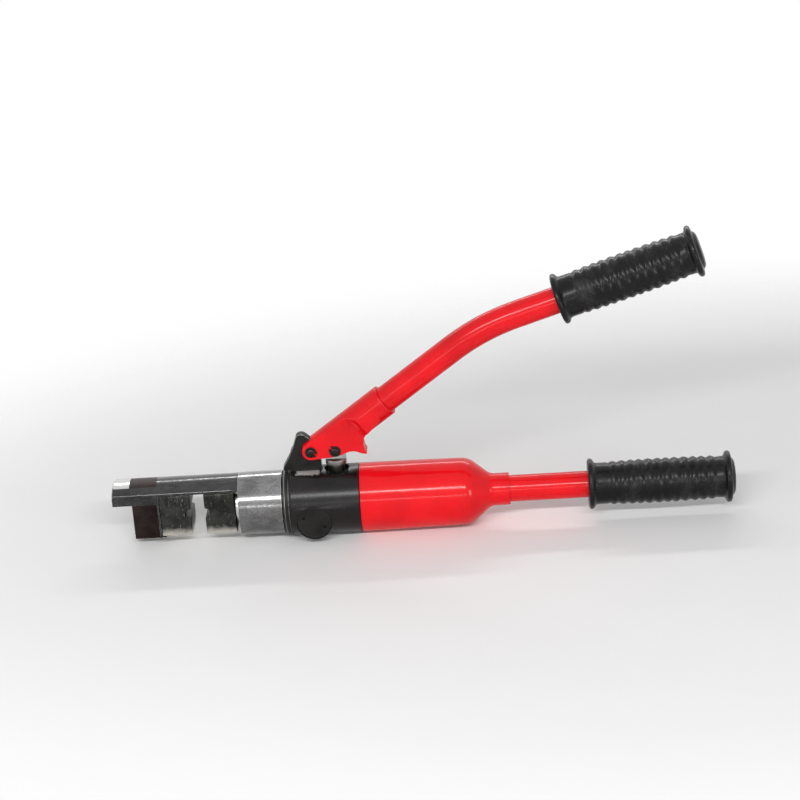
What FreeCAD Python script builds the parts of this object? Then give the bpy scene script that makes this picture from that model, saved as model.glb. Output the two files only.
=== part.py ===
import FreeCAD, Part
import math
import os

# Hand-pumped hydraulic cable crimper with a C-shaped head. Millimetres.
# X runs along the tool with the jaws towards -X and the grips towards +X, Z is up,
# Y is the cable's direction through the jaws. The origin is the crimp centre.

# Dies
die_gap = 10.8            # between the two dies with the ram drawn back
die_depth = 24.0          # along the tool, back face to closing face
die_half_width = 14.8     # along the cable
die_drop = 17.7           # from the crimp centre down to the open edge
die_chamfer = 0.9
nest_half_mouth = 4.5     # half height of the half hexagon at the closing face
nest_depth = 3.9
nest_flare = 1.6          # cone at both ends of the nest
nub_r = 4.0
nub_length = 7.0
nub_ring_r = 0.8          # rubber ring that grips the nub

# Head
head_r = 24.0
barrel_r = 24.3           # ground round for a stand's ring, a little over the milled front
tip_overhang = 13.9       # spine past the foot
foot_length = 21.5        # anvil foot under the spine, along the tool
foot_half = 9.0
foot_drop = 21.3
foot_radius = 2.5
seat_plate = 1.2          # full-width edge of the foot behind the die
lip_length = 3.8          # lip of the foot under the die
cove_r = 3.9              # hollow of the lip
cove_reach = 4.7          # of its centre past the foot's face
spine_under = 10.1        # underside of the spine beyond the foot
throat_roof = 16.8        # ceiling of the throat over the dies
flat_y = 15.0             # milled side flats
die_back_room = 2.9       # from the ram die's back to the barrel's front wall
barrel_length = 34.0
flat_corner_r = 6.0       # of the flats at the barrel
head_chamfer = 0.8
tip_chamfer = 1.6
mouth_length = 7.2        # wall at the barrel's front that guides the ram's nose
bore_r = 19.0
wiper_r = 1.0

# Ram
nose_r = 13.8
nose_length = 21.6
piston_length = 12.0
ram_seal_r = 1.3
spring_bore_r = 8.0
nub_wall = 2.2            # metal between the nub's hole and the spring's bore
retainer_length = 3.0
retainer_hole_r = 3.4
rod_r = 3.0
rod_head_r = 6.6
rod_head_length = 2.0
rod_thread = 9.0          # rod screwed into the pump body
ram_wire_r = 0.7
ram_turns = 5

# Swivel joint of head and pump body
spigot_wall = 3.5         # head's rear sleeve outside the bore
sleeve_length = 13.7
collar_r = 25.8
collar_length = 5.8
collar_bevel = 1.2
collar_step = 1.4         # narrower rear edge of the collar
ring_wire_r = 1.0
ring_setback = 3.6        # wire ring behind the body's front face

# Pump body
body_r = 26.5
body_length = 52.9
rear_boss_r = 23.2
rear_boss_length = 5.7
bag_spigot_r = 16.0
bag_spigot_length = 5.0
gallery_z = -7.5          # level of the oil drillings
check_ball_r = 2.4
check_bore_r = 2.8
check_hole_r = 1.5
suction_room = 6.1        # from the plunger's axis to the suction ball's seat
delivery_room = 4.9       # from the plunger's axis to the delivery ball's seat
check_spring = 7.0
check_wire_r = 0.35
check_turns = 3
valve_wall = 2.0          # metal between the two valves, and the stop ring's length

# Side plug over the relief valve
plug_x = 89.5
plug_r = 13.2
boss_rim = 0.4
boss_inset = 0.3          # boss's face inside the body's own round
plug_head = 2.3
plug_shank_r = 8.5
plug_shank = 5.7
plug_sunk = 0.4           # plug's face below the boss's rim
plug_seal_r = 0.9
spanner_hole_r = 1.1
spanner_hole_pitch = 17.6
spanner_hole_depth = 1.8
spanner_angle = -26.0
relief_ball_r = 2.0
relief_bore_r = 3.6
relief_seat_y = 5.0
relief_screw_length = 4.0
relief_wire_r = 0.5
relief_turns = 5

# Lug and lever pivots
fulcrum_x = 90.2
fulcrum_z = 43.0
pin_spacing = 18.2
pin_r = 2.5
lug_half = 3.3
lug_eye_r = 6.8
lug_toe_x = 67.8
lug_slot_z = 24.3         # floor of the lug's seat in the body
horn_r = 4.8
horn_angle = 127.9        # of the stop horn round the fulcrum, from +X
horn_reach = 11.4

# Plunger
plunger_r = 6.1
plunger_foot_z = 6.0
plunger_collar_r = 8.1
plunger_collar_z = 30.9
plunger_collar_length = 4.1
tongue_r = 7.5
spotface_r = 9.5
spotface_z = 22.0
bush_length = 6.5
bush_wall = 3.3
plunger_seal_length = 3.0
chamber_floor_z = -2.0
pin_travel = 1.2          # length of the eye's slot towards the fulcrum

# Lever casting
socket_angle = 36.0
socket_x = 149.4          # middle of the socket's open end
socket_z = 80.7
socket_r = 12.45
socket_depth = 30.0
cheek_half = 6.7
nose_outer_r = 7.0
nose_back = 4.4           # front of the nose before the fulcrum
nose_top = 10.5
blank_length = 80.0       # round blank of the casting, from the socket's open end
scoop_r = 18.0
flat_from_end = 38.0     # the cheeks' flats start this far from the socket's end
slot_top = 8.6            # roof of the slot over the pivots
slot_back = 30.0
circlip_r = 4.6
circlip_t = 0.9
clip_gap = 1.8
pin_end = 1.6             # pin past the circlip
screw_r = 2.5
screw_from_end = 14.0
screw_head_r = 4.0
screw_head_length = 1.6
screw_slot = 1.0          # width and depth of a screwdriver slot
twist_range = 60.0        # turn of the handle in its socket, degrees

# Handle tubes
tube_r = 10.25
tube_wall = 2.2
bend_x = 224.7
bend_z = 135.4
bend_r = 170.0
upper_angle = 17.4
upper_to_grip = 60.9      # from the bend's corner to the grip's front
lower_tube_r = 10.25
lower_tube_wall = 2.2
lower_grip_x = 299.7

# Oil tank
tank_r = 26.5
tank_taper = 0.7
tank_wall = 3.0
shoulder_drop = 2.6       # rounding of the shoulder into the cone
cone_foot = 0.5           # rounding of the cone into the collar
tank_barrel = 83.5
cone_length = 17.5
collar_tank_r = 12.4
collar_tank_length = 13.2
tube_seat = 12.0
bag_wall = 1.4
bag_r = 20.5
bag_length = 66.0
bag_shoulder = 8.0        # drawn-in ends of the bag
bag_corner = 3.5
bag_end_r = 10.5
clamp_wall = 1.6
clamp_length = 3.4
strainer_r = 4.4
strainer_length = 5.0
tank_seal_r = 0.9

# Grips
grip_length = 112.5
flange_r = 19.5
flange_length = 5.0
grip_neck = 11.0
grip_neck_r = 15.9
rib_r = 17.0
rib_pitch = 6.8
rib_count = 12
rib_rise = 2.2            # from a groove's floor to the rib's top, along the grip
rib_top = 2.3
rib_swell = 0.6           # the middle ribs are higher than the end ones
groove_depth = 1.6
rear_flange_r = 19.8
rear_flange_length = 5.0
cap_r = 14.0
cap_length = 3.0
grip_floor = 2.5

# Clearances
fit = 0.05                # running fit, on the radius
snug = 0.02               # between pieces of one assembly, on the radius
slack = 0.3               # between bodies that face each other
ring_play = 0.15

# Places that follow from the sizes above
jaw_face = die_gap / 2 + die_depth
foot_x = -jaw_face - foot_length
tip_x = foot_x - tip_overhang
barrel_x = jaw_face + die_back_room
barrel_end = barrel_x + barrel_length
shoulder_x = barrel_x + mouth_length
piston_x = jaw_face + nose_length
ram_back = piston_x + piston_length
spigot_front = ram_back + slack
sleeve_r = bore_r + spigot_wall
sleeve_end = barrel_end + sleeve_length
body_x = barrel_end + slack + collar_length
body_back = body_x + body_length
die_top = throat_roof - slack
nub_hole_r = nub_r + ring_play
nub_hole = nub_length + 1.0
spring_bore_x = jaw_face + nub_hole + nub_wall
rod_head_x = spring_bore_x + slack
plunger_x = fulcrum_x + pin_spacing
boss_face = body_r - boss_inset
boss_r = plug_r + boss_rim
boss_back = boss_face - plug_head
slot_half = lug_half + ring_play
lug_back_x = fulcrum_x + lug_eye_r
ball_lift = math.sqrt(check_ball_r ** 2 - check_hole_r ** 2) + snug
relief_lift = math.sqrt(relief_ball_r ** 2 - check_hole_r ** 2) + snug
suction_ball_x = plunger_x + suction_room - ball_lift
delivery_ball_x = plunger_x - delivery_room - ball_lift
seal_x = (spigot_front + sleeve_end + slack) / 2
relief_ball_y = -relief_seat_y - relief_lift
relief_screw_y = -boss_back + plug_shank + snug
lug_tangent = horn_angle - math.degrees(math.acos((lug_eye_r - horn_r) / horn_reach))
tank_x = body_back + ring_play
screw_point = tube_r - tube_wall + slack
spin_u = math.radians(socket_angle)
FAR = 60.0                # past the whole tool, for cutters


def v(x, y=0.0, z=0.0):
    return FreeCAD.Vector(x, y, z)


X_AXIS = v(1)
Y_AXIS = v(0, 1)
Z_AXIS = v(0, 0, 1)


def cyl_x(r, x0, x1, y=0.0, z=0.0):
    return Part.makeCylinder(r, x1 - x0, v(x0, y, z), X_AXIS)


def cyl_y(r, y0, y1, x, z):
    return Part.makeCylinder(r, y1 - y0, v(x, y0, z), Y_AXIS)


def cyl_z(r, z0, z1, x, y=0.0):
    return Part.makeCylinder(r, z1 - z0, v(x, y, z0), Z_AXIS)


def tube_x(r_out, r_in, x0, x1):
    return cyl_x(r_out, x0, x1).cut(cyl_x(r_in, x0 - 1, x1 + 1))


def block(x0, x1, y0, y1, z0, z1):
    return Part.makeBox(x1 - x0, y1 - y0, z1 - z0, v(x0, y0, z0))


def ring_x(major, minor, x, y=0.0, z=0.0):
    return Part.makeTorus(major, minor, v(x, y, z), X_AXIS)


def turned(profile):
    """Solid of revolution round the X axis from (x, r) corners."""
    points = [v(x, 0, r) for x, r in profile]
    face = Part.Face(Part.makePolygon(points + [points[0]]))
    return face.revolve(v(0), X_AXIS, 360)


def plate_xz(edges, half):
    """Plate of the given outline in the XZ plane, half thick either side of it."""
    face = Part.Face(Part.Wire(edges))
    face.translate(v(0, -half, 0))
    return face.extrude(v(0, 2 * half, 0))


def outline(points):
    """Edges through (x, z) corners. A corner given as three numbers is a point on an arc."""
    edges = []
    at = points[0]
    through = None
    for point in points[1:]:
        if len(point) == 3:
            through = point
            continue
        if through is None:
            edges.append(Part.LineSegment(v(at[0], 0, at[1]), v(point[0], 0, point[1])).toShape())
        else:
            arc = Part.Arc(v(at[0], 0, at[1]), v(through[0], 0, through[1]), v(point[0], 0, point[1]))
            edges.append(arc.toShape())
            through = None
        at = point
    return edges


def helix_spring(radius, wire_r, length, turns):
    """Coil spring along +Z from the origin, with its wire inside the length."""
    rise = length - 2 * wire_r
    path = Part.makeHelix(rise / turns, rise, radius)
    path.translate(v(0, 0, wire_r))
    start = v(radius, 0, wire_r)
    section = Part.Wire(Part.makeCircle(wire_r, start, Y_AXIS))
    return Part.Wire(path).makePipeShell([section], True, True)


def place(shape, at, direction):
    """The shape's own Z axis is laid along the direction, from the given point."""
    moved = shape.copy()
    moved.Placement = FreeCAD.Placement(at, FreeCAD.Rotation(Z_AXIS, direction)).multiply(moved.Placement)
    return moved


def half_hexagon(side, reach):
    """Cutter for one half of the crimp nest, open towards the crimp centre."""
    face = die_gap / 2
    half_floor = nest_half_mouth - nest_depth / math.sqrt(3)
    points = [(-reach, -nest_half_mouth), (0.0, -nest_half_mouth), (nest_depth, -half_floor),
              (nest_depth, half_floor), (0.0, nest_half_mouth), (-reach, nest_half_mouth)]
    corners = [(side * (face + x), z) for x, z in points]
    cutter = plate_xz(outline(corners + [corners[0]]), die_half_width + 1)
    for end in (-1, 1):
        cone = Part.makeCone(nest_half_mouth + nest_flare, nest_half_mouth - nest_flare, 2 * nest_flare,
                             v(side * (face - nest_flare / 2), end * die_half_width, 0), v(0, -end, 0))
        cutter = cutter.fuse(cone)
    return cutter


def die(side):
    """Half of the die pair. side is -1 on the anvil and +1 on the ram."""
    x0, x1 = sorted((side * die_gap / 2, side * jaw_face))
    body = block(x0, x1, -die_half_width, die_half_width, -die_drop, die_top)
    body = body.makeChamfer(die_chamfer, body.Edges)
    body = body.cut(half_hexagon(side, 1.0))
    nub = cyl_x(nub_r, *sorted((side * (jaw_face - 1), side * (jaw_face + nub_length))))
    groove = ring_x(nub_r + nub_ring_r * 0.4, nub_ring_r + snug, side * (jaw_face + nub_length / 2))
    return body.fuse(nub).cut(groove)


def nub_ring(side):
    """Rubber ring in the seat's hole that holds the die by its nub."""
    return ring_x(nub_r + nub_ring_r * 0.4, nub_ring_r, side * (jaw_face + nub_length / 2))


def nub_seat(side):
    """Hole for the nub with the groove of its rubber ring."""
    hole = cyl_x(nub_hole_r, *sorted((side * (jaw_face - 1), side * (jaw_face + nub_hole))))
    groove = ring_x(nub_r + nub_ring_r * 0.4, nub_ring_r + snug, side * (jaw_face + nub_length / 2))
    return hole.fuse(groove)


def side_flat(side):
    """Milled flat on one side of the head, with a rounded upper corner at the barrel."""
    y0, y1 = sorted((side * flat_y, side * (head_r + 1)))
    top = head_r + 1
    waste = block(tip_x - 1, barrel_x, y0, y1, -head_r - 1, top)
    chord = math.sqrt(head_r ** 2 - flat_y ** 2)
    keep = block(barrel_x - flat_corner_r, barrel_x + 1, y0, y1, chord - flat_corner_r, top)
    keep = keep.cut(cyl_y(flat_corner_r, y0 - 1, y1 + 1, barrel_x - flat_corner_r, chord - flat_corner_r))
    return waste.cut(keep)


def foot_side(side):
    """Waste beside and under the anvil foot, with a small radius up the spine."""
    y0, y1 = sorted((side * foot_half, side * (head_r + 1)))
    waste = block(foot_x - 1, -jaw_face - seat_plate, y0, y1, -head_r - 1, spine_under)
    edge = block(foot_x - 2, -jaw_face, *sorted((side * foot_half, side * (foot_half + foot_radius))),
                 spine_under - foot_radius, spine_under + 1)
    edge = edge.cut(Part.makeCylinder(foot_radius, foot_length + 4,
                                      v(foot_x - 2, side * (foot_half + foot_radius), spine_under - foot_radius),
                                      X_AXIS))
    return waste.cut(edge)


def foot_lip():
    """Lip of the foot under the anvil die, hollowed like a cove."""
    top = -die_drop - slack
    lip = block(-jaw_face - 1, -jaw_face + lip_length, -head_r - 1, head_r + 1, -head_r - 2, top)
    return lip.cut(cyl_y(cove_r, -head_r - 2, head_r + 2, -jaw_face + cove_reach, top - 0.1 - cove_r))


def c_head():
    """One bar turned and milled to a C: spine, foot, throat and the ram's cylinder."""
    bar = turned([(tip_x, 0), (tip_x, head_r - tip_chamfer), (tip_x + tip_chamfer, head_r),
                  (barrel_x, head_r), (barrel_x, barrel_r),
                  (barrel_end - head_chamfer, barrel_r), (barrel_end, barrel_r - head_chamfer),
                  (barrel_end, sleeve_r), (sleeve_end - head_chamfer, sleeve_r),
                  (sleeve_end, sleeve_r - head_chamfer), (sleeve_end, 0)])
    bar = bar.cut([side_flat(-1), side_flat(1)])
    below = -head_r - 1
    throat = block(-jaw_face, barrel_x, -head_r - 1, head_r + 1, below, throat_roof).cut(foot_lip())
    overhang = block(tip_x - 1, foot_x, -head_r - 1, head_r + 1, below, spine_under)
    under_foot = block(foot_x - 1, -jaw_face + lip_length + 1, -head_r - 1, head_r + 1, below, -foot_drop)
    for waste in (throat, overhang, under_foot, foot_side(-1), foot_side(1)):
        bar = bar.cut(waste)
    bore = cyl_x(bore_r, shoulder_x, sleeve_end + 1)
    mouth = cyl_x(nose_r + fit, barrel_x - 1, shoulder_x + 1)
    wiper_groove = ring_x(nose_r + fit + wiper_r * 0.8, wiper_r + snug, barrel_x + mouth_length / 2)
    ring_x0 = body_x + ring_setback
    ring_half = ring_wire_r + ring_play
    keeper_groove = tube_x(sleeve_r + 1, sleeve_r - ring_wire_r, ring_x0 - ring_half, ring_x0 + ring_half)
    return bar.cut([bore, mouth, wiper_groove, keeper_groove, nub_seat(-1)])


def ram_wiper():
    return ring_x(nose_r + fit + wiper_r * 0.8, wiper_r, barrel_x + mouth_length / 2).cut(
        cyl_x(nose_r + fit, barrel_x, shoulder_x))


def ram():
    """Stepped piston, hollow at the back for its return spring."""
    body = cyl_x(nose_r, jaw_face, piston_x + 1).fuse(cyl_x(bore_r - fit, piston_x, ram_back))
    hollow = cyl_x(spring_bore_r, spring_bore_x, ram_back + 1)
    groove_x = piston_x + piston_length / 2
    floor_r = bore_r - fit - 2 * ram_seal_r
    groove = tube_x(bore_r + 1, floor_r, groove_x - ram_seal_r - snug, groove_x + ram_seal_r + snug)
    return body.cut([hollow, groove, nub_seat(1)])


def ram_seal():
    return ring_x(bore_r - fit - ram_seal_r + snug, ram_seal_r - snug, piston_x + piston_length / 2)


def ram_spring_retainer():
    return tube_x(spring_bore_r - snug, retainer_hole_r, ram_back - retainer_length, ram_back)


def return_rod():
    """Bolt fixed in the pump body; its head holds the front end of the return spring."""
    shank = cyl_x(rod_r, rod_head_x, spigot_front + rod_thread)
    head = cyl_x(rod_head_r, rod_head_x, rod_head_x + rod_head_length)
    slot = block(rod_head_x - 1, rod_head_x + screw_slot, -rod_head_r - 1, rod_head_r + 1, -screw_slot / 2,
                 screw_slot / 2)
    return shank.fuse(head).cut(slot)


def ram_return_spring():
    start = rod_head_x + rod_head_length
    length = ram_back - retainer_length - start
    coil = helix_spring((rod_r + spring_bore_r) / 2, ram_wire_r, length, ram_turns)
    return place(coil, v(start), X_AXIS)


def pump_body():
    """Turned block with the ram's end plug in front and the tank's seat behind."""
    boss_end = body_back + rear_boss_length
    spigot_end = boss_end + bag_spigot_length
    pocket_end = sleeve_end + slack
    bore = sleeve_r + fit
    profile = [(spigot_front, 0), (spigot_front, bore_r - fit - 0.6), (spigot_front + 0.6, bore_r - fit),
               (pocket_end, bore_r - fit), (pocket_end, bore), (body_x, bore), (body_x, body_r - 0.5),
               (body_x + 0.5, body_r), (body_back - 0.5, body_r), (body_back, body_r - 0.5),
               (body_back, rear_boss_r), (boss_end, rear_boss_r), (boss_end, bag_spigot_r),
               (spigot_end, bag_spigot_r), (spigot_end, 0)]
    body = turned(profile)
    boss = cyl_y(boss_r, -boss_face, -body_r / 2, plug_x, gallery_z)
    body = body.fuse(boss.cut(cyl_x(body_r - 4, body_x, body_back)))
    ring_x0 = body_x + ring_setback
    half = ring_wire_r + snug
    keeper_groove = tube_x(sleeve_r + fit + ring_wire_r + ring_play, bore - 1, ring_x0 - half, ring_x0 + half)
    seal_groove = tube_x(bore_r + 0.01, bore_r - fit - 2 * ram_seal_r, seal_x - ram_seal_r - snug,
                         seal_x + ram_seal_r + snug)
    rod_hole = cyl_x(rod_r + snug, spigot_front - 1, spigot_front + rod_thread)
    tank_groove = tube_x(rear_boss_r + 1, rear_boss_r - 2 * tank_seal_r, *tank_seal_span())
    lug_seat = block(body_x - 1, lug_back_x + snug, -lug_half - snug, lug_half + snug, lug_slot_z, body_r + 1)
    spotface = cyl_z(spotface_r, spotface_z, body_r + 1, plunger_x)
    cuts = [keeper_groove, seal_groove, rod_hole, tank_groove, lug_seat, spotface]
    cuts += plunger_drillings() + gallery_drillings() + plug_drillings()
    return body.cut(cuts)


def tank_seal_span():
    middle = body_back + rear_boss_length * 0.7
    return middle - tank_seal_r - snug, middle + tank_seal_r + snug


def tank_seal():
    x0, x1 = tank_seal_span()
    return ring_x(rear_boss_r - tank_seal_r + snug, tank_seal_r - snug, (x0 + x1) / 2)


def head_seal():
    return ring_x(bore_r - fit - ram_seal_r + snug, ram_seal_r - snug, seal_x)


def plunger_drillings():
    """Stepped vertical bore: guide bush, seal, plunger bore and the pump chamber."""
    bush_r = plunger_r + fit + bush_wall
    return [cyl_z(bush_r + snug, spotface_z - bush_length - plunger_seal_length, spotface_z + 1, plunger_x),
            cyl_z(plunger_r + fit, chamber_floor_z, spotface_z, plunger_x),
            cyl_z(check_bore_r, gallery_z, chamber_floor_z + 1, plunger_x)]


def gallery_drillings():
    """Oil ways along the tool: from the tank past the suction ball to the ram past the delivery ball."""
    suction_seat = plunger_x + suction_room
    delivery_seat = plunger_x - delivery_room
    back = body_back + rear_boss_length + bag_spigot_length + 1
    return [cyl_x(check_bore_r, delivery_seat + valve_wall, suction_seat, 0, gallery_z),
            cyl_x(check_hole_r, suction_seat - 1, back, 0, gallery_z),
            cyl_x(check_hole_r, delivery_seat - 1, delivery_seat + valve_wall + 1, 0, gallery_z),
            cyl_x(check_bore_r, spigot_front - 1, delivery_seat, 0, gallery_z)]


def plug_drillings():
    """Threaded seat of the side plug and the relief valve's bore behind it."""
    screw_back = -boss_back + plug_shank
    return [cyl_y(plug_r + snug, -boss_face - 1, -boss_back, plug_x, gallery_z),
            cyl_y(plug_shank_r + snug, -boss_back - 1, screw_back, plug_x, gallery_z),
            cyl_y(relief_bore_r + snug, screw_back - 1, -relief_seat_y, plug_x, gallery_z),
            cyl_y(check_hole_r, -relief_seat_y - 1, 0, plug_x, gallery_z)]


def swivel_collar():
    """Ring between head and body that closes the joint of the turning head."""
    x0 = barrel_end + slack
    step_x = body_x - collar_step
    rear_r = collar_r - 1.0
    return turned([(x0, sleeve_r + fit), (x0, collar_r - collar_bevel), (x0 + collar_bevel, collar_r),
                   (step_x, collar_r), (step_x, rear_r), (body_x, rear_r), (body_x, sleeve_r + fit)])


def swivel_wire_ring():
    """Round wire that holds the head's sleeve in the body."""
    return ring_x(sleeve_r + fit + ring_play, ring_wire_r, body_x + ring_setback)


def side_plug():
    face_y = -boss_face + plug_sunk
    head = cyl_y(plug_r, face_y, -boss_back, plug_x, gallery_z)
    shank = cyl_y(plug_shank_r, -boss_back, -boss_back + plug_shank, plug_x, gallery_z)
    plug = head.fuse(shank)
    for side in (-1, 1):
        a = math.radians(spanner_angle)
        reach = side * spanner_hole_pitch / 2
        plug = plug.cut(cyl_y(spanner_hole_r, -boss_face - 1, face_y + spanner_hole_depth,
                              plug_x + reach * math.cos(a), gallery_z + reach * math.sin(a)))
    groove = Part.makeTorus(plug_shank_r, plug_seal_r + snug, v(plug_x, plug_seal_y(), gallery_z), Y_AXIS)
    return plug.cut(groove)


def plug_seal_y():
    return -boss_back + plug_shank * 0.4


def plug_seal():
    ring = Part.makeTorus(plug_shank_r, plug_seal_r, v(plug_x, plug_seal_y(), gallery_z), Y_AXIS)
    return ring.common(cyl_y(plug_shank_r, -boss_back, -boss_back + plug_shank, plug_x, gallery_z))


def relief_screw():
    y0 = relief_screw_y
    screw = cyl_y(relief_bore_r, y0, y0 + relief_screw_length, plug_x, gallery_z)
    half = screw_slot / 2
    return screw.cut(block(plug_x - FAR, plug_x + FAR, y0 - 1, y0 + screw_slot, gallery_z - half,
                           gallery_z + half))


def relief_ball():
    return Part.makeSphere(relief_ball_r, v(plug_x, relief_ball_y, gallery_z))


def relief_spring():
    start = relief_screw_y + relief_screw_length
    end = relief_ball_y - relief_ball_r
    coil = helix_spring(relief_bore_r - relief_wire_r - slack, relief_wire_r, end - start, relief_turns)
    return place(coil, v(plug_x, start, gallery_z), Y_AXIS)


def check_ball(x):
    return Part.makeSphere(check_ball_r, v(x, 0, gallery_z))


def check_coil(start, end):
    coil = helix_spring(check_bore_r - check_wire_r - snug * 10, check_wire_r, end - start, check_turns)
    return place(coil, v(start, 0, gallery_z), X_AXIS)


def suction_spring():
    """Stands on the wall between the two valves and presses the ball on its seat."""
    return check_coil(plunger_x - delivery_room + valve_wall, suction_ball_x - check_ball_r)


def delivery_spring():
    end = delivery_ball_x - check_ball_r
    return check_coil(end - check_spring, end)


def delivery_stop():
    """Pressed ring that the delivery spring stands on."""
    end = delivery_ball_x - check_ball_r - check_spring
    ring = cyl_x(check_bore_r - snug, end - valve_wall, end, 0, gallery_z)
    return ring.cut(cyl_x(check_hole_r, end - FAR, end + FAR, 0, gallery_z))


def polar(radius, degrees):
    a = math.radians(degrees)
    return fulcrum_x + radius * math.cos(a), fulcrum_z + radius * math.sin(a)


def fulcrum_lug():
    """Plate on the body's top with the lever's fulcrum and the horn that stops it open."""
    horn_x, horn_z = polar(horn_reach, horn_angle)
    t = math.radians(lug_tangent)
    horn_tangent = (horn_x + horn_r * math.cos(t), horn_z + horn_r * math.sin(t))
    horn_back = (horn_x - horn_r * 0.8, horn_z + horn_r * 0.6)
    toe_z = body_r + 0.8
    points = [(lug_back_x, lug_slot_z), polar(lug_eye_r, 0.0), polar(lug_eye_r, lug_tangent / 2) + (0,),
              polar(lug_eye_r, lug_tangent), horn_tangent, (horn_x + 0.6, horn_z + horn_r * 0.992, 0), horn_back,
              rel(-14.0, 2.4), rel(-15.6, -0.2, 0), rel(-16.6, -3.0), (lug_toe_x, toe_z + 2.3),
              (lug_toe_x + 0.4, toe_z), (body_x + ring_play, toe_z), (body_x + ring_play, lug_slot_z),
              (lug_back_x, lug_slot_z)]
    lug = plate_xz(outline(points), lug_half)
    return lug.cut(cyl_y(pin_r + fit, -lug_half - 1, lug_half + 1, fulcrum_x, fulcrum_z))


def plunger():
    """Pump plunger with a collar and a flat tongue whose eye is slotted for the lever's pin."""
    rod = cyl_z(plunger_r, plunger_foot_z, plunger_collar_z + 1, plunger_x)
    top = plunger_collar_z + plunger_collar_length
    collar = cyl_z(plunger_collar_r, plunger_collar_z, top, plunger_x)
    tongue = block(plunger_x - tongue_r, plunger_x + tongue_r, -lug_half, lug_half, top - 1, fulcrum_z)
    tongue = tongue.fuse(cyl_y(tongue_r, -lug_half, lug_half, plunger_x, fulcrum_z))
    eye_r = pin_r + fit
    eye = cyl_y(eye_r, -lug_half - 1, lug_half + 1, plunger_x, fulcrum_z)
    eye = eye.fuse(cyl_y(eye_r, -lug_half - 1, lug_half + 1, plunger_x - pin_travel, fulcrum_z))
    eye = eye.fuse(block(plunger_x - pin_travel, plunger_x, -lug_half - 1, lug_half + 1,
                         fulcrum_z - eye_r, fulcrum_z + eye_r))
    shape = rod.fuse([collar, tongue]).cut(eye)
    return shape.removeSplitter()


def plunger_bush():
    z1 = spotface_z
    bush_r = plunger_r + fit + bush_wall
    return cyl_z(bush_r, z1 - bush_length, z1, plunger_x).cut(
        cyl_z(plunger_r + fit, z1 - bush_length - 1, z1 + 1, plunger_x))


def plunger_seal():
    z1 = spotface_z - bush_length
    bush_r = plunger_r + fit + bush_wall
    return cyl_z(bush_r, z1 - plunger_seal_length, z1, plunger_x).cut(
        cyl_z(plunger_r + fit, z1 - plunger_seal_length - 1, z1 + 1, plunger_x))


def along_socket(u, n=0.0):
    """A point by its distance u along the socket's axis and n square to it, from the open end."""
    return (socket_x + u * math.cos(spin_u) - n * math.sin(spin_u),
            socket_z + u * math.sin(spin_u) + n * math.cos(spin_u))


def socket_cylinder(r, u0, u1):
    x, z = along_socket(u0)
    return Part.makeCylinder(r, u1 - u0, v(x, 0, z), v(math.cos(spin_u), 0, math.sin(spin_u)))


def rel(dx, dz, *rest):
    return (fulcrum_x + dx, fulcrum_z + dz) + rest


def lower_edge():
    """Underside of the casting from its nose to the notch before the socket."""
    return [rel(0, -nose_outer_r), rel(10.1, -5.9), rel(19.7, -5.0), rel(25.2, -3.2), rel(31.9, -1.3),
            rel(38.3, -3.4), rel(43.1, -4.3), rel(40.3, 4.0, 0), rel(43.1, 13.2)]


def blank_outline():
    """Side shape of the casting: nose round the fulcrum, back ridge, heel and web under the socket."""
    ridge_x, ridge_z = along_socket(-blank_length, socket_r)
    back = fulcrum_x - nose_back
    ridge = ridge_z + (back - ridge_x) * math.tan(spin_u)
    end_x, end_z = along_socket(-5.0, socket_r * 0.5)
    under_x, under_z = along_socket(-12.0, -socket_r * 0.6)
    return lower_edge() + [(under_x, under_z), (end_x, end_z), (end_x - 6.0, end_z),
                           (back, min(ridge, fulcrum_z + nose_top)), rel(-6.8, 1.9), rel(-5.6, -4.2, 0),
                           rel(0, -nose_outer_r)]


def under_waste():
    """Round stock milled away below the casting's underside, square to the socket at the notch."""
    edge = lower_edge()
    notch_x, notch_z = edge[-1]
    out = (notch_x + 25 * math.sin(spin_u), notch_z - 25 * math.cos(spin_u))
    corners = edge + [out, rel(0, -FAR), rel(0, -nose_outer_r)]
    return plate_xz(outline(corners), socket_r + 1)


def side_waste(side):
    """Metal milled off one side of the blank, ending in a hollow before the socket."""
    y0, y1 = sorted((side * cheek_half, side * FAR))
    flat = block(-3 * FAR, 0, y0, y1, -FAR, FAR)
    hollow = cyl_z(scoop_r, -FAR, FAR, 0, side * (cheek_half + scoop_r))
    waste = flat.fuse(hollow)
    x, z = along_socket(-flat_from_end)
    waste.Placement = FreeCAD.Placement(v(x, 0, z), FreeCAD.Rotation(Y_AXIS, -socket_angle))
    return waste


def lever_slot():
    """Room between the cheeks for the lug and the plunger's tongue, open below and in front."""
    low = -FAR / 3
    slot = block(fulcrum_x + low, fulcrum_x + slot_back, -slot_half, slot_half, fulcrum_z + low,
                 fulcrum_z + slot_top)
    front = block(low, lug_eye_r + slack, -slot_half, slot_half, low, -low * 2)
    front.Placement = FreeCAD.Placement(v(fulcrum_x, 0, fulcrum_z), FreeCAD.Rotation(Y_AXIS, -lug_tangent))
    return slot.fuse(front)


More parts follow.
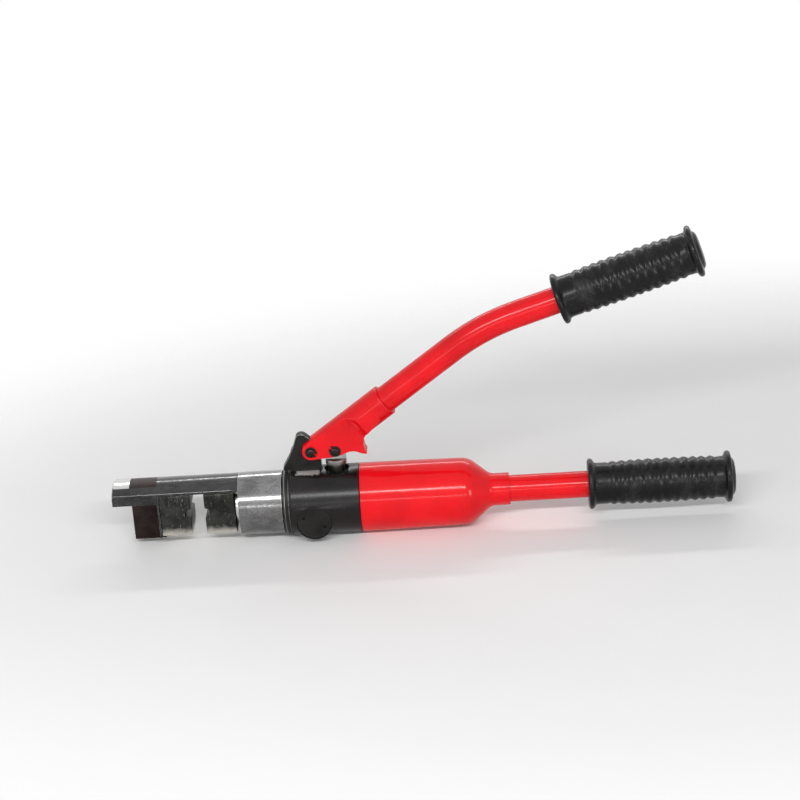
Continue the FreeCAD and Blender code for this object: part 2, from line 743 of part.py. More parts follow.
def lever_casting():
    """Forked casting: cheeks round lug and plunger, running into the handle's round socket."""
    window = plate_xz(outline(blank_outline()), socket_r)
    barrel = socket_cylinder(socket_r, -blank_length, 0.0)
    behind = block(fulcrum_x - nose_back, fulcrum_x + 2 * FAR, -FAR, FAR, fulcrum_z - 10, fulcrum_z + 2 * FAR)
    casting = window.fuse(barrel.common(behind).cut(under_waste()))
    over = block(-2 * FAR, FAR / 4, -FAR, FAR, 0, FAR).cut(cyl_x(socket_r, -3 * FAR, FAR))
    x, z = along_socket(0)
    over.Placement = FreeCAD.Placement(v(x, 0, z), FreeCAD.Rotation(Y_AXIS, -socket_angle))
    casting = casting.cut(over)
    for side in (-1, 1):
        casting = casting.cut(side_waste(side))
    casting = casting.cut(socket_cylinder(tube_r + fit, -socket_depth, 1.0))
    casting = casting.cut(lever_slot())
    for x in (fulcrum_x, plunger_x):
        casting = casting.cut(cyl_y(pin_r + snug, -socket_r - 1, socket_r + 1, x, fulcrum_z))
    x, z = along_socket(-screw_from_end)
    casting = casting.cut(Part.makeCylinder(screw_r + snug, socket_r + 3, v(x, 0, z), Y_AXIS))
    return casting.removeSplitter()


def cross_pin(x):
    half = cheek_half + circlip_t + pin_end
    return cyl_y(pin_r, -half, half, x, fulcrum_z)


def pin_circlips():
    """Four retaining rings, one on each end of both pins."""
    clips = []
    for x in (fulcrum_x, plunger_x):
        for side in (-1, 1):
            y0, y1 = sorted((side * cheek_half, side * (cheek_half + circlip_t)))
            clip = cyl_y(circlip_r, y0, y1, x, fulcrum_z).cut(cyl_y(pin_r + snug, y0 - 1, y1 + 1, x, fulcrum_z))
            gap = block(x - clip_gap / 2, x + clip_gap / 2, y0 - 1, y1 + 1, fulcrum_z - circlip_r - 1, fulcrum_z)
            clips.append(clip.cut(gap))
    return Part.makeCompound(clips)


def twist_screw():
    """Screw through the socket's far side whose point runs in the tube's slot."""
    x, z = along_socket(-screw_from_end)
    head_y = socket_r + snug
    head = cyl_y(screw_head_r, head_y, head_y + screw_head_length, x, z)
    screw = cyl_y(screw_r, screw_point, head_y, x, z).fuse(head)
    half = screw_slot / 2
    return screw.cut(block(x - screw_head_r, x + screw_head_r, head_y + screw_head_length - screw_slot,
                           head_y + screw_head_length + 1, z - half, z + half))


def upper_tube():
    """Handle tube, bent once, with a quarter-turn slot for the screw in its socket."""
    half_turn = (socket_angle - upper_angle) / 2
    setback = bend_r * math.tan(math.radians(half_turn))
    first = v(math.cos(spin_u), 0, math.sin(spin_u))
    a2 = math.radians(upper_angle)
    second = v(math.cos(a2), 0, math.sin(a2))
    x0, z0 = along_socket(-socket_depth + slack)
    start = v(x0, 0, z0)
    corner = v(bend_x, 0, bend_z)
    bend_start = corner - first * setback
    centre = bend_start + v(math.sin(spin_u), 0, -math.cos(spin_u)) * bend_r
    end_length = upper_to_grip + grip_length - grip_floor - cap_length - setback
    bend_end = corner + second * setback

    def bent(r):
        run = Part.makeCylinder(r, (bend_start - start).Length, start, first)
        disc = Part.Face(Part.Wire(Part.makeCircle(r, bend_start, first)))
        bow = disc.revolve(centre, Y_AXIS, 2 * half_turn)
        tail = Part.makeCylinder(r, end_length, bend_end, second)
        return run.fuse([bow, tail])

    tube = bent(tube_r).cut(bent(tube_r - tube_wall))
    gap = screw_r + ring_play
    spread = math.degrees(math.asin(gap / screw_point))
    sector = Part.makeCylinder(tube_r + 1, 2 * gap, v(0), Z_AXIS, twist_range + 2 * spread)
    sector.rotate(v(0), Z_AXIS, 90 - spread)
    sector.rotate(v(0), Y_AXIS, 90)
    x, z = along_socket(-screw_from_end - gap)
    sector.Placement = FreeCAD.Placement(v(x, 0, z), FreeCAD.Rotation(Y_AXIS, -socket_angle)).multiply(
        sector.Placement)
    return tube.cut(sector).removeSplitter()


def grip_profile():
    """Outline of a grip along its own axis: flanges, plain necks and ribs."""
    profile = [(0.0, flange_r - 1.6), (0.8, flange_r - 0.3), (2.2, flange_r), (3.8, flange_r - 0.5),
               (flange_length - 0.3, flange_r - 1.8), (flange_length, grip_neck_r + 0.8)]
    at = flange_length + grip_neck
    profile.append((at, grip_neck_r))
    for i in range(rib_count):
        swell = rib_swell * (1.0 - ((i + 0.5) / rib_count * 2 - 1) ** 2)
        crest = rib_r - rib_swell + swell
        profile.append((at + rib_rise, crest))
        profile.append((at + rib_rise + rib_top, crest))
        profile.append((at + rib_pitch, rib_r - groove_depth + swell))
        at += rib_pitch
    flange_at = grip_length - cap_length - rear_flange_length
    profile.append((flange_at - 0.6, grip_neck_r))
    profile += [(flange_at, rear_flange_r - 2.0), (flange_at + 1.3, rear_flange_r),
                (flange_at + 3.6, rear_flange_r), (flange_at + rear_flange_length, rear_flange_r - 1.6),
                (flange_at + rear_flange_length, cap_r + 0.8),
                (flange_at + rear_flange_length + 1.6, cap_r), (grip_length, cap_r - 3.5)]
    return profile


def grip(bore):
    """Rubber grip along its own X axis with a blind bore from the front."""
    solid = turned([(0.0, 0.0)] + grip_profile() + [(grip_length, 0.0)])
    return solid.cut(cyl_x(bore, -1, grip_length - grip_floor - cap_length))


def upper_grip():
    shape = grip(tube_r + snug)
    a2 = math.radians(upper_angle)
    at = v(bend_x + upper_to_grip * math.cos(a2), 0, bend_z + upper_to_grip * math.sin(a2))
    shape.Placement = FreeCAD.Placement(at, FreeCAD.Rotation(Y_AXIS, -upper_angle))
    return shape


def lower_grip():
    shape = grip(lower_tube_r + snug)
    shape.Placement = FreeCAD.Placement(v(lower_grip_x), FreeCAD.Rotation())
    return shape


def lower_tube():
    x0 = tank_x + tank_barrel + cone_length + collar_tank_length - tube_seat
    x1 = lower_grip_x + grip_length - grip_floor - cap_length
    return tube_x(lower_tube_r, lower_tube_r - lower_tube_wall, x0, x1)


def tank_profile(inset):
    """Outline of the tank from its front edge over shoulder and cone to the tube's collar."""
    shoulder = tank_x + tank_barrel
    rear_r = tank_r - tank_taper
    drop = rear_r - collar_tank_r
    cone_end = shoulder + cone_length
    return [(tank_x, tank_r - inset - 0.8), (tank_x + 0.8, tank_r - inset), (shoulder - 6, rear_r - inset),
            (shoulder - 1.5, rear_r - 0.7 - inset), (shoulder + 3, rear_r - shoulder_drop - inset),
            (cone_end - 5, collar_tank_r + drop * 0.16 - inset * 0.8),
            (cone_end - 1, collar_tank_r + cone_foot - inset), (cone_end + 1.5, collar_tank_r - inset)]


def tank_shell():
    """Red oil tank: thin barrel screwed over the body's rear boss, drawn in to a collar."""
    end = tank_x + tank_barrel + cone_length + collar_tank_length
    outer = tank_profile(0.0)
    outer += [(end - 0.8, collar_tank_r), (end, collar_tank_r - 0.8)]
    solid = turned([(tank_x, 0.0)] + outer + [(end, 0.0)])
    inner = [(x, r) for x, r in tank_profile(tank_wall) if x > tank_x + rear_boss_length + 2]
    start = tank_x + rear_boss_length + 1
    stop = end - tube_seat - 3
    inner = [(start, 0.0), (start, tank_r - tank_wall)] + [(x, r) for x, r in inner if x < stop - 1]
    inner += [(stop, inner[-1][1] - 1.0), (stop, 0.0)]
    seat = cyl_x(rear_boss_r + snug, tank_x - 1, start + 1)
    tube_hole = cyl_x(lower_tube_r + snug, end - tube_seat, end + 1)
    return solid.cut([turned(inner), seat, tube_hole])


def oil_bladder():
    """Rubber bag that holds the oil, its mouth over the body's spigot."""
    x0 = body_back + rear_boss_length + slack
    mouth = bag_spigot_r + snug
    end = x0 + bag_length
    inner_r = bag_r - bag_wall
    inner_end = end - bag_wall
    outer = [(x0, mouth + bag_wall), (x0 + bag_spigot_length, mouth + bag_wall), (x0 + bag_shoulder + 1, bag_r),
             (end - bag_shoulder, bag_r), (end - bag_corner, bag_r - bag_corner), (end, bag_end_r)]
    inner = [(x0 - 1, mouth), (x0 + bag_spigot_length + 0.6, mouth), (x0 + bag_shoulder + 1.3, inner_r),
             (inner_end - bag_shoulder + 1, inner_r), (inner_end - bag_corner + 0.5, inner_r - bag_corner),
             (inner_end, bag_end_r - bag_wall)]
    solid = turned([(x0, 0.0)] + outer + [(end, 0.0)])
    return solid.cut(turned([(x0 - 1, 0.0)] + inner + [(inner_end, 0.0)]))


def bladder_clamp():
    x0 = body_back + rear_boss_length + slack + 0.6
    inner = bag_spigot_r + bag_wall + 2 * snug
    return tube_x(inner + clamp_wall, inner, x0, x0 + clamp_length)


def suction_strainer():
    x0 = body_back + rear_boss_length + bag_spigot_length
    cap = cyl_x(strainer_r, x0, x0 + strainer_length, 0, gallery_z)
    return cap.cut(cyl_x(strainer_r - 0.8, x0 - 1, x0 + strainer_length - 0.8, 0, gallery_z))


def build():
    return {
        "c_head": c_head(),
        "ram_wiper": ram_wiper(),
        "anvil_die": die(-1),
        "anvil_nub_ring": nub_ring(-1),
        "ram": ram(),
        "ram_seal": ram_seal(),
        "ram_die": die(1),
        "ram_nub_ring": nub_ring(1),
        "ram_spring_retainer": ram_spring_retainer(),
        "ram_return_spring": ram_return_spring(),
        "return_rod": return_rod(),
        "pump_body": pump_body(),
        "head_seal": head_seal(),
        "swivel_collar": swivel_collar(),
        "swivel_wire_ring": swivel_wire_ring(),
        "fulcrum_lug": fulcrum_lug(),
        "side_plug": side_plug(),
        "plug_seal": plug_seal(),
        "relief_screw": relief_screw(),
        "relief_spring": relief_spring(),
        "relief_ball": relief_ball(),
        "suction_ball": check_ball(suction_ball_x),
        "suction_spring": suction_spring(),
        "delivery_ball": check_ball(delivery_ball_x),
        "delivery_spring": delivery_spring(),
        "delivery_stop": delivery_stop(),
        "suction_strainer": suction_strainer(),
        "plunger": plunger(),
        "plunger_bush": plunger_bush(),
        "plunger_seal": plunger_seal(),
        "fulcrum_pin": cross_pin(fulcrum_x),
        "plunger_pin": cross_pin(plunger_x),
        "pin_circlips": pin_circlips(),
        "lever_casting": lever_casting(),
        "twist_screw": twist_screw(),
        "upper_tube": upper_tube(),
        "upper_grip": upper_grip(),
        "tank_shell": tank_shell(),
        "tank_seal": tank_seal(),
        "oil_bladder": oil_bladder(),
        "bladder_clamp": bladder_clamp(),
        "lower_tube": lower_tube(),
        "lower_grip": lower_grip(),
    }


def main():
    os.makedirs("parts", exist_ok=True)
    for name, shape in build().items():
        shape.exportStep(os.path.join("parts", name + ".step"))
        print(name, len(shape.Solids), shape.isValid(), round(shape.Volume, 1))


main()
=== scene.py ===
# %% [markdown]
# Hydraulic cable crimping tool. The solids of the tool come in as a fixed frame, in metres, with the
# crimp centre at the origin, X along the tool towards the grips and Z up. This lesson dresses them:
# it models the pieces that the eye rests on again with rounded edges and cast skins, gives every
# piece a procedural finish, and lights the whole like a catalogue picture.

import math

import bpy
from mathutils import Matrix, Vector


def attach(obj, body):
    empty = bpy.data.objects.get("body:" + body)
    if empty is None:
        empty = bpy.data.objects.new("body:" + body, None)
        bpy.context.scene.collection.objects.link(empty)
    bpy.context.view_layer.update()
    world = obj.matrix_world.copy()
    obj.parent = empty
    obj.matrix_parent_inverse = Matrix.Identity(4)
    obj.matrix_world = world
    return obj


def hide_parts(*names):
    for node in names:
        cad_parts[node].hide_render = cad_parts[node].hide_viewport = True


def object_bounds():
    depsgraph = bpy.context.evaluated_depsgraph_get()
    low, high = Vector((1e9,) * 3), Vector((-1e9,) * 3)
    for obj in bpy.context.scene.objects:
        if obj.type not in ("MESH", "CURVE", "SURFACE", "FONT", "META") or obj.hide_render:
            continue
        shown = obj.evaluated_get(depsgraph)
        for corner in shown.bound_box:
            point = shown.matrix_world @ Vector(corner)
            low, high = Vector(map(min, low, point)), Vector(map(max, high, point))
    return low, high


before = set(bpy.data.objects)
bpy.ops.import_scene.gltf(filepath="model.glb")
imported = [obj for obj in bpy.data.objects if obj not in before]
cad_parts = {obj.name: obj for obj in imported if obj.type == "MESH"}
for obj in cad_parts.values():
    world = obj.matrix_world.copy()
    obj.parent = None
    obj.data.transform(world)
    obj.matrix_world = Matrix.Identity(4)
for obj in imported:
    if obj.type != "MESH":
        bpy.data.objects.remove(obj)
cad_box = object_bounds()
MM = 0.001
print("solids:", len(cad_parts), "box:", cad_box)

# %% [markdown]
# The photograph looks down on the tool by 24 degrees, almost square to its side, through a long lens.
# The camera also leans a little, so that the tool rises to the right. A camera in Blender looks along
# its own -Z, so its matrix is built from the directions right, up and back.

# %% Camera
VIEW_DOWN, VIEW_ROUND, VIEW_ROLL = map(math.radians, (24.0, 2.5, 4.3))
LENS_MM, SENSOR_MM, IMAGE_PX = 112.5, 36.0, 800
CAMERA_FAR = 1.930
FOCAL_PX = LENS_MM / SENSOR_MM * IMAGE_PX
CENTRE_PX = (199.6, 505.65)   # where the crimp centre sits in the picture


def place_camera():
    back = Vector((math.sin(VIEW_ROUND) * math.cos(VIEW_DOWN), -math.cos(VIEW_ROUND) * math.cos(VIEW_DOWN),
                   math.sin(VIEW_DOWN)))
    level = Vector((math.cos(VIEW_ROUND), math.sin(VIEW_ROUND), 0.0))
    upright = back.cross(level)
    right = level * math.cos(VIEW_ROLL) - upright * math.sin(VIEW_ROLL)
    up = level * math.sin(VIEW_ROLL) + upright * math.cos(VIEW_ROLL)
    across = (CENTRE_PX[0] - IMAGE_PX / 2) / FOCAL_PX * CAMERA_FAR
    above = (IMAGE_PX / 2 - CENTRE_PX[1]) / FOCAL_PX * CAMERA_FAR
    spot = back * CAMERA_FAR - right * across - up * above
    bpy.ops.object.camera_add()
    camera = bpy.context.object
    turn = Matrix((right, up, back)).transposed().to_4x4()
    camera.matrix_world = Matrix.Translation(spot) @ turn
    camera.data.lens = LENS_MM
    camera.data.sensor_width = SENSOR_MM
    camera.data.clip_end = 20.0
    bpy.context.scene.camera = camera
    return camera


camera = place_camera()
print("camera at", [round(c, 3) for c in camera.location])

# %% [markdown]
# Modelling by hand means: add a primitive, go to edit mode, extrude and scale, come back, and apply
# modifiers. These few helpers keep those steps short. Nothing but the new piece is ever selected.


# %% Helpers for modelling
def pick(*objects):
    """Only these objects are selected, and the first one is active."""
    bpy.ops.object.select_all(action="DESELECT")
    for obj in objects:
        obj.select_set(True)
    bpy.context.view_layer.objects.active = objects[0]


def settle(obj):
    """Origin at zero, unturned and unscaled."""
    pick(obj)
    bpy.ops.object.transform_apply(location=True, rotation=True, scale=True)
    return obj


def edit_all():
    bpy.ops.object.mode_set(mode="EDIT")
    bpy.ops.mesh.select_mode(type="VERT")
    bpy.ops.mesh.select_all(action="SELECT")


def close_up(obj, fill=True):
    """Merges doubles, fills open ends and turns the faces outwards."""
    pick(obj)
    edit_all()
    bpy.ops.mesh.remove_doubles(threshold=1e-6)
    if fill:
        bpy.ops.mesh.fill_holes(sides=0)
    bpy.ops.mesh.select_all(action="SELECT")
    bpy.ops.mesh.normals_make_consistent(inside=False)
    bpy.ops.object.mode_set(mode="OBJECT")
    return obj


def apply_modifier(obj, kind, **settings):
    pick(obj)
    modifier = obj.modifiers.new(kind.lower(), kind)
    for key, value in settings.items():
        setattr(modifier, key, value)
    bpy.ops.object.modifier_apply(modifier=modifier.name)
    return obj


def soften(obj, width, segments=3, angle=30.0, finish=-1):
    """Rounds the edges sharper than the angle by width millimetres. The new faces may get a finish's number."""
    return apply_modifier(obj, "BEVEL", width=width * MM, segments=segments, limit_method="ANGLE",
                          angle_limit=math.radians(angle), use_clamp_overlap=True, harden_normals=False,
                          miter_outer="MITER_ARC", material=finish)


def lay_finishes(obj, finish, edge_finish):
    """Two finishes: the first for the faces, the second for the edges that the bevel rounds."""
    obj.data.materials.clear()
    obj.data.materials.append(finish)
    obj.data.materials.append(edge_finish)


def smooth(obj, angle=35.0):
    pick(obj)
    bpy.ops.object.shade_smooth_by_angle(angle=math.radians(angle))
    return obj


def cut_away(obj, *cutters):
    for cutter in cutters:
        apply_modifier(obj, "BOOLEAN", operation="DIFFERENCE", solver="EXACT", object=cutter)
        bpy.data.objects.remove(cutter)
    return obj


def join_on(obj, other):
    apply_modifier(obj, "BOOLEAN", operation="UNION", solver="EXACT", object=other)
    bpy.data.objects.remove(other)
    return obj


def turned(name, profile, sides=96, closed=False):
    """A piece turned on a lathe round X: a ring is extruded and scaled from corner to corner of (x, r)."""
    bpy.ops.object.select_all(action="DESELECT")
    x, r = profile[0]
    bpy.ops.mesh.primitive_circle_add(vertices=sides, radius=r * MM, location=(x * MM, 0, 0),
                                      rotation=(0, math.radians(90), 0))
    obj = bpy.context.object
    obj.name = name
    settle(obj)
    edit_all()
    for x1, r1 in profile[1:]:
        bpy.ops.mesh.extrude_region_move(TRANSFORM_OT_translate={"value": ((x1 - x) * MM, 0, 0)})
        scale = r1 / r
        bpy.ops.transform.resize(value=(1, scale, scale), center_override=(x1 * MM, 0, 0))
        x, r = x1, r1
    bpy.ops.object.mode_set(mode="OBJECT")
    return close_up(obj, fill=not closed)


def plate(name, points, half, y=0.0):
    """A plate sawn to the outline of (x, z) corners: one vertex is extruded round, filled and thickened."""
    bpy.ops.object.select_all(action="DESELECT")
    x, z = points[0]
    bpy.ops.mesh.primitive_plane_add(size=1 * MM, location=(x * MM, (y - half) * MM, z * MM))
    obj = bpy.context.object
    obj.name = name
    settle(obj)
    edit_all()
    bpy.ops.mesh.merge(type="CENTER")
    for x1, z1 in points[1:]:
        bpy.ops.mesh.extrude_region_move(TRANSFORM_OT_translate={"value": ((x1 - x) * MM, 0, (z1 - z) * MM)})
        x, z = x1, z1
    bpy.ops.mesh.select_all(action="SELECT")
    bpy.ops.mesh.edge_face_add()
    bpy.ops.mesh.extrude_region_move(TRANSFORM_OT_translate={"value": (0, 2 * half * MM, 0)})
    bpy.ops.object.mode_set(mode="OBJECT")
    return close_up(obj, fill=False)


def box(name, low, high):
    """A box between two corners, in millimetres."""
    bpy.ops.object.select_all(action="DESELECT")
    middle = [(a + b) / 2 * MM for a, b in zip(low, high)]
    bpy.ops.mesh.primitive_cube_add(size=1.0, location=middle)
    obj = bpy.context.object
    obj.name = name
    obj.scale = [(b - a) * MM for a, b in zip(low, high)]
    return settle(obj)


def rod(name, r, start, end, sides=64):
    """A round bar between two points, in millimetres."""
    a, b = Vector(start), Vector(end)
    way = b - a
    bpy.ops.object.select_all(action="DESELECT")
    bpy.ops.mesh.primitive_cylinder_add(vertices=sides, radius=r * MM, depth=way.length * MM,
                                        location=(a + b) / 2 * MM,
                                        rotation=way.to_track_quat("Z", "Y").to_euler())
    obj = bpy.context.object
    obj.name = name
    return settle(obj)


def turn_across(obj, x, z):
    """A piece turned round X is laid along Y, through (x, z)."""
    pick(obj)
    obj.rotation_euler = (0, 0, math.radians(90))
    obj.location = (x * MM, 0, z * MM)
    return settle(obj)


def from_solid(node, name, width=0.0, angle=30.0, finishes=()):
    """A copy of a solid with merged triangles, whose hard edges are then rounded."""
    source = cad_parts[node]
    pick(source)
    bpy.ops.object.duplicate()
    obj = bpy.context.object
    obj.name = name
    edit_all()
    bpy.ops.mesh.remove_doubles(threshold=1e-6)
    bpy.ops.mesh.dissolve_limited(angle_limit=math.radians(1.0))
    bpy.ops.object.mode_set(mode="OBJECT")
    obj.data.materials.clear()
    if finishes:
        lay_finishes(obj, *finishes)
    if width:
        soften(obj, width, 2, angle, 1 if finishes else -1)
    return smooth(obj)


def stand_for(obj, finish, body, slot, *nodes):
    """The piece gets its finish, unless it has its own, rides on its body and is shown for the solids."""
    if finish:
        obj.data.materials.clear()
        obj.data.materials.append(finish)
    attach(obj, body)
    if nodes:
        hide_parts(*nodes)
    print(obj.name, "has", len(obj.data.polygons), "faces")


# %% [markdown]
# A finish is a small network of shader nodes. The class below lets shader maths read like a sentence:
# each operator adds one Math node. The method `add` makes any other node.


# %% Helpers for finishes
class Value:
    """A number that varies over the surface: the output of a shader node."""

    def __init__(self, tree, socket):
        self.tree = tree
        self.socket = socket

    def math(self, operation, other=None, swap=False):
        inputs = [self, other] if other is not None else [self]
        if swap:
            inputs.reverse()
        return self.tree.add("ShaderNodeMath", {"operation": operation}, dict(enumerate(inputs)))

    def __add__(self, other):
        return self.math("ADD", other)

    __radd__ = __add__

    def __sub__(self, other):
        return self.math("SUBTRACT", other)

    def __rsub__(self, other):
        return self.math("SUBTRACT", other, swap=True)

    def __mul__(self, other):
        return self.math("MULTIPLY", other)

    def above(self, low, high):
        """0 under low, 1 over high, and a smooth climb between them."""
        return self.tree.add("ShaderNodeMapRange", {"interpolation_type": "SMOOTHSTEP", "clamp": True},
                             {0: self, 1: low, 2: high, 3: 0.0, 4: 1.0})


class Finish:
    """One material and its network."""

    def __init__(self, name, colour=(0.5, 0.5, 0.5), roughness=0.5, metallic=0.0, **fixed):
        self.material = bpy.data.materials.new(name)
        self.material.use_nodes = True
        self.nodes = self.material.node_tree.nodes
        self.links = self.material.node_tree.links
        self.shader = self.nodes["Principled BSDF"]
        self.shader.inputs["Base Color"].default_value = (*colour, 1.0)
        self.shader.inputs["Roughness"].default_value = roughness
        self.shader.inputs["Metallic"].default_value = metallic
        for key, value in fixed.items():
            self.shader.inputs[key.replace("_", " ").title().replace("Ior", "IOR")].default_value = value
        self.where = self.add("ShaderNodeTexCoord", output="Object")

    def add(self, kind, settings=None, inputs=None, output=0):
        """Adds a node, sets its settings first and then the values or links of its sockets."""
        node = self.nodes.new(kind)
        for key, value in (settings or {}).items():
            setattr(node, key, value)
        for key, value in (inputs or {}).items():
            socket = node.inputs[key]
            if isinstance(value, Value):
                self.links.new(value.socket, socket)
            else:
                socket.default_value = value
        return Value(self, node.outputs[output])

    def stretched(self, scale):
        """Object coordinates multiplied by three factors, for grain that runs along one axis."""
        return self.add("ShaderNodeMapping", None, {"Vector": self.where, "Scale": scale})

    def noise(self, scale, detail=3.0, roughness=0.5, at=None):
        return self.add("ShaderNodeTexNoise", None,
                        {"Vector": at or self.where, "Scale": scale, "Detail": detail, "Roughness": roughness})

    def cells(self, scale, at=None):
        return self.add("ShaderNodeTexVoronoi", None, {"Vector": at or self.where, "Scale": scale})

    def axis(self, index):
        return self.add("ShaderNodeSeparateXYZ", None, {0: self.where}, output=index)

    def mix(self, share, first, second):
        """A colour between two colours."""
        first = first if isinstance(first, Value) else (*first, 1.0)
        second = second if isinstance(second, Value) else (*second, 1.0)
        return self.add("ShaderNodeMix", {"data_type": "RGBA", "clamp_factor": True},
                        {0: share, 6: first, 7: second}, output=2)

    def feed(self, **links):
        for key, value in links.items():
            self.links.new(value.socket, self.shader.inputs[key.replace("_", " ")])
        return self

    def bump(self, height, depth, strength=1.0):
        """Raises the surface by height times depth millimetres."""
        normal = self.add("ShaderNodeBump", None, {"Height": height, "Strength": strength,
                                                   "Distance": depth * MM}, output="Normal")
        return self.feed(Normal=normal)


# %% [markdown]
# The head is ground steel that has been oiled and handled. Grinding leaves fine lines along the bar;
# the milled part is darker than the barrel, both clouded by a grey film, and the rounded edges are
# rubbed by use and painted lighter as a highlight. The foot is painted brown as a painted reflection.
# The round top above the foot carries the same painted brown reflection, and the top of the tip a
# painted bright reflection. Their limit was set to a line in the photograph.


# %% Ground steel of the head
BARREL_START, FOOT_FRONT, SPINE_FLOOR, FOOT_SIDE = 32.0, -30.4, 10.3, 9.4
FOOT_BACK, CROWN = -50.9, 22.5


def make_ground_steel():
    finish = Finish("ground_steel", metallic=1.0)
    x, y, z = (finish.axis(i) for i in range(3))
    lines = finish.noise(60.0, 4.0, 0.6, finish.stretched((2.0, 60.0, 60.0)))
    rings = finish.noise(80.0, 3.0, 0.6, finish.stretched((40.0, 0.5, 0.5)))
    clouds = finish.noise(70.0, 6.0, 0.66, finish.stretched((0.6, 1.0, 1.0)))
    speckle = finish.noise(900.0, 3.0, 0.7)
    film = (clouds + speckle * 0.5 - 0.25).above(0.34, 0.66)
    barrel = x.above(BARREL_START * MM, (BARREL_START + 1) * MM)
    milled = finish.mix(film, (0.065, 0.065, 0.066), (0.030, 0.028, 0.027))
    ground = finish.mix(film, (0.26, 0.26, 0.265), (0.13, 0.127, 0.124))
    colour = finish.mix(barrel, milled, ground)
    colour = finish.mix(lines.above(0.42, 0.75) * 0.20, colour, (0.40, 0.40, 0.41))
    # Painted reflection: the foot, and the round top above it, are painted brown.
    beside = (1.0 - x.above((FOOT_FRONT - 0.1) * MM, FOOT_FRONT * MM)) * (
        1.0 - y.math("ABSOLUTE").above(FOOT_SIDE * MM, (FOOT_SIDE + 0.1) * MM))
    brown_reflection_area = (1.0 - z.above((SPINE_FLOOR - 0.2) * MM, SPINE_FLOOR * MM)) * beside
    brown_reflection_tone = finish.mix(clouds.above(0.3, 0.7), (0.018, 0.012, 0.011), (0.045, 0.032, 0.029))
    crown = z.above((CROWN - 0.4) * MM, CROWN * MM)
    tip = 1.0 - (x + clouds * 0.0006).above((FOOT_BACK - 0.4) * MM, FOOT_BACK * MM)
    over_foot = crown * (1.0 - tip) * (1.0 - x.above((FOOT_FRONT - 0.4) * MM, FOOT_FRONT * MM))
    brown_reflection_area = brown_reflection_area + over_foot
    # Painted reflection: the top of the tip is painted bright.
    colour = finish.mix(crown * tip, colour, (0.60, 0.595, 0.585))
    colour = finish.mix(brown_reflection_area, colour, brown_reflection_tone)
    finish.feed(Base_Color=colour, Roughness=0.10 + film * 0.10 + lines * 0.06 + brown_reflection_area * 0.28)
    finish.bump(lines + rings * barrel * 0.8 + speckle * 0.4, 0.015, 0.5)
    return finish.material


GROUND_STEEL = make_ground_steel()


# %% [markdown]
# Edges are rubbed by hands and cables, and every rounded edge is also painted lighter than its faces
# as a painted highlight: bright on bare steel, grey on blackened steel. The bevels of such pieces carry one of
# these two finishes.


# %% Rubbed edges with a painted highlight
def make_edge(name, dull, bright):
    finish = Finish(name, metallic=1.0)
    # Brighter patches along the edge: wear and painted highlight together.
    wear_and_glint = finish.noise(160.0, 4.0, 0.6).above(0.28, 0.46)
    finish.feed(Base_Color=finish.mix(wear_and_glint, dull, bright), Roughness=0.28 + finish.noise(900.0) * 0.16)
    return finish.material


RUBBED_LIT_EDGE = make_edge("rubbed_lit_edge", (0.50, 0.49, 0.48), (0.95, 0.95, 0.94))
WORN_LIT_BLACK = make_edge("worn_lit_black", (0.03, 0.03, 0.03), (0.30, 0.29, 0.28))


# %% [markdown]
# The fitted dies are hardened, greenish grey and dull, with a fine grain and small pits. Their lower
# edge, where cables are pushed in, is rubbed bright.


# %% Die steel
RUBBED_LOW, RUBBED_HIGH = -16.6, -10.5


def make_die_steel():
    finish = Finish("die_steel", metallic=1.0)
    grain = finish.noise(1400.0, 4.0, 0.7)
    clouds = finish.noise(70.0, 4.0, 0.6)
    scratches = finish.noise(180.0, 3.0, 0.6, finish.stretched((6.0, 1.0, 1.6))).above(0.62, 0.72)
    pits = (1.0 - finish.cells(420.0)).above(0.84, 0.97) * clouds.above(0.45, 0.7)
    colour = finish.mix(clouds.above(0.35, 0.7), (0.055, 0.056, 0.050), (0.020, 0.021, 0.018))
    colour = finish.mix(scratches * 0.5, colour, (0.42, 0.42, 0.40))
    height = finish.axis(2) + (clouds - 0.5) * 0.010
    rubbed = 1.0 - height.above(RUBBED_LOW * MM, RUBBED_HIGH * MM)
    colour = finish.mix(rubbed * 0.85, colour, (0.72, 0.69, 0.62))
    colour = finish.mix(pits, colour, (0.05, 0.048, 0.042))
    finish.feed(Base_Color=colour, Roughness=0.27 + grain * 0.14 + clouds * 0.10)
    finish.bump(grain * 0.5 + scratches * 0.3 - pits, 0.06, 0.6)
    return finish.material


DIE_STEEL = make_die_steel()


# %% [markdown]
# Tank, tubes and lever are sprayed with one thick gloss red. Spray paint has a faint orange peel and
# a little dust in it, and its tone drifts slightly from place to place.


# %% Red gloss paint
def make_red_paint():
    finish = Finish("red_paint", coat_weight=0.42, coat_roughness=0.13, coat_ior=1.5, specular_ior_level=0.05)
    peel = finish.noise(260.0, 2.0, 0.4)
    haze = finish.noise(28.0, 4.0, 0.6)
    dust = finish.noise(2600.0, 2.0, 0.6).above(0.70, 0.80)
    colour = finish.mix(haze.above(0.35, 0.7), (0.76, 0.003, 0.008), (0.62, 0.002, 0.006))
    colour = finish.mix(dust * 0.35, colour, (0.90, 0.20, 0.19))
    finish.feed(Base_Color=colour, Roughness=0.34 + haze * 0.14 + dust * 0.2)
    finish.bump(peel, 0.05, 0.35)
    return finish.material


RED_PAINT = make_red_paint()


# %% [markdown]
# The pump body is blackened steel, oiled and handled: brownish black, satin, with turning lines round
# it and lighter scuffs. On its top, beside the lug, a bright metallic patch is a painted highlight.


# %% Blackened steel of the pump body
HIGHLIGHT_PATCH = ((76.6, 95.9), (-9.4, -1.0))   # along X and Y, on top of the body


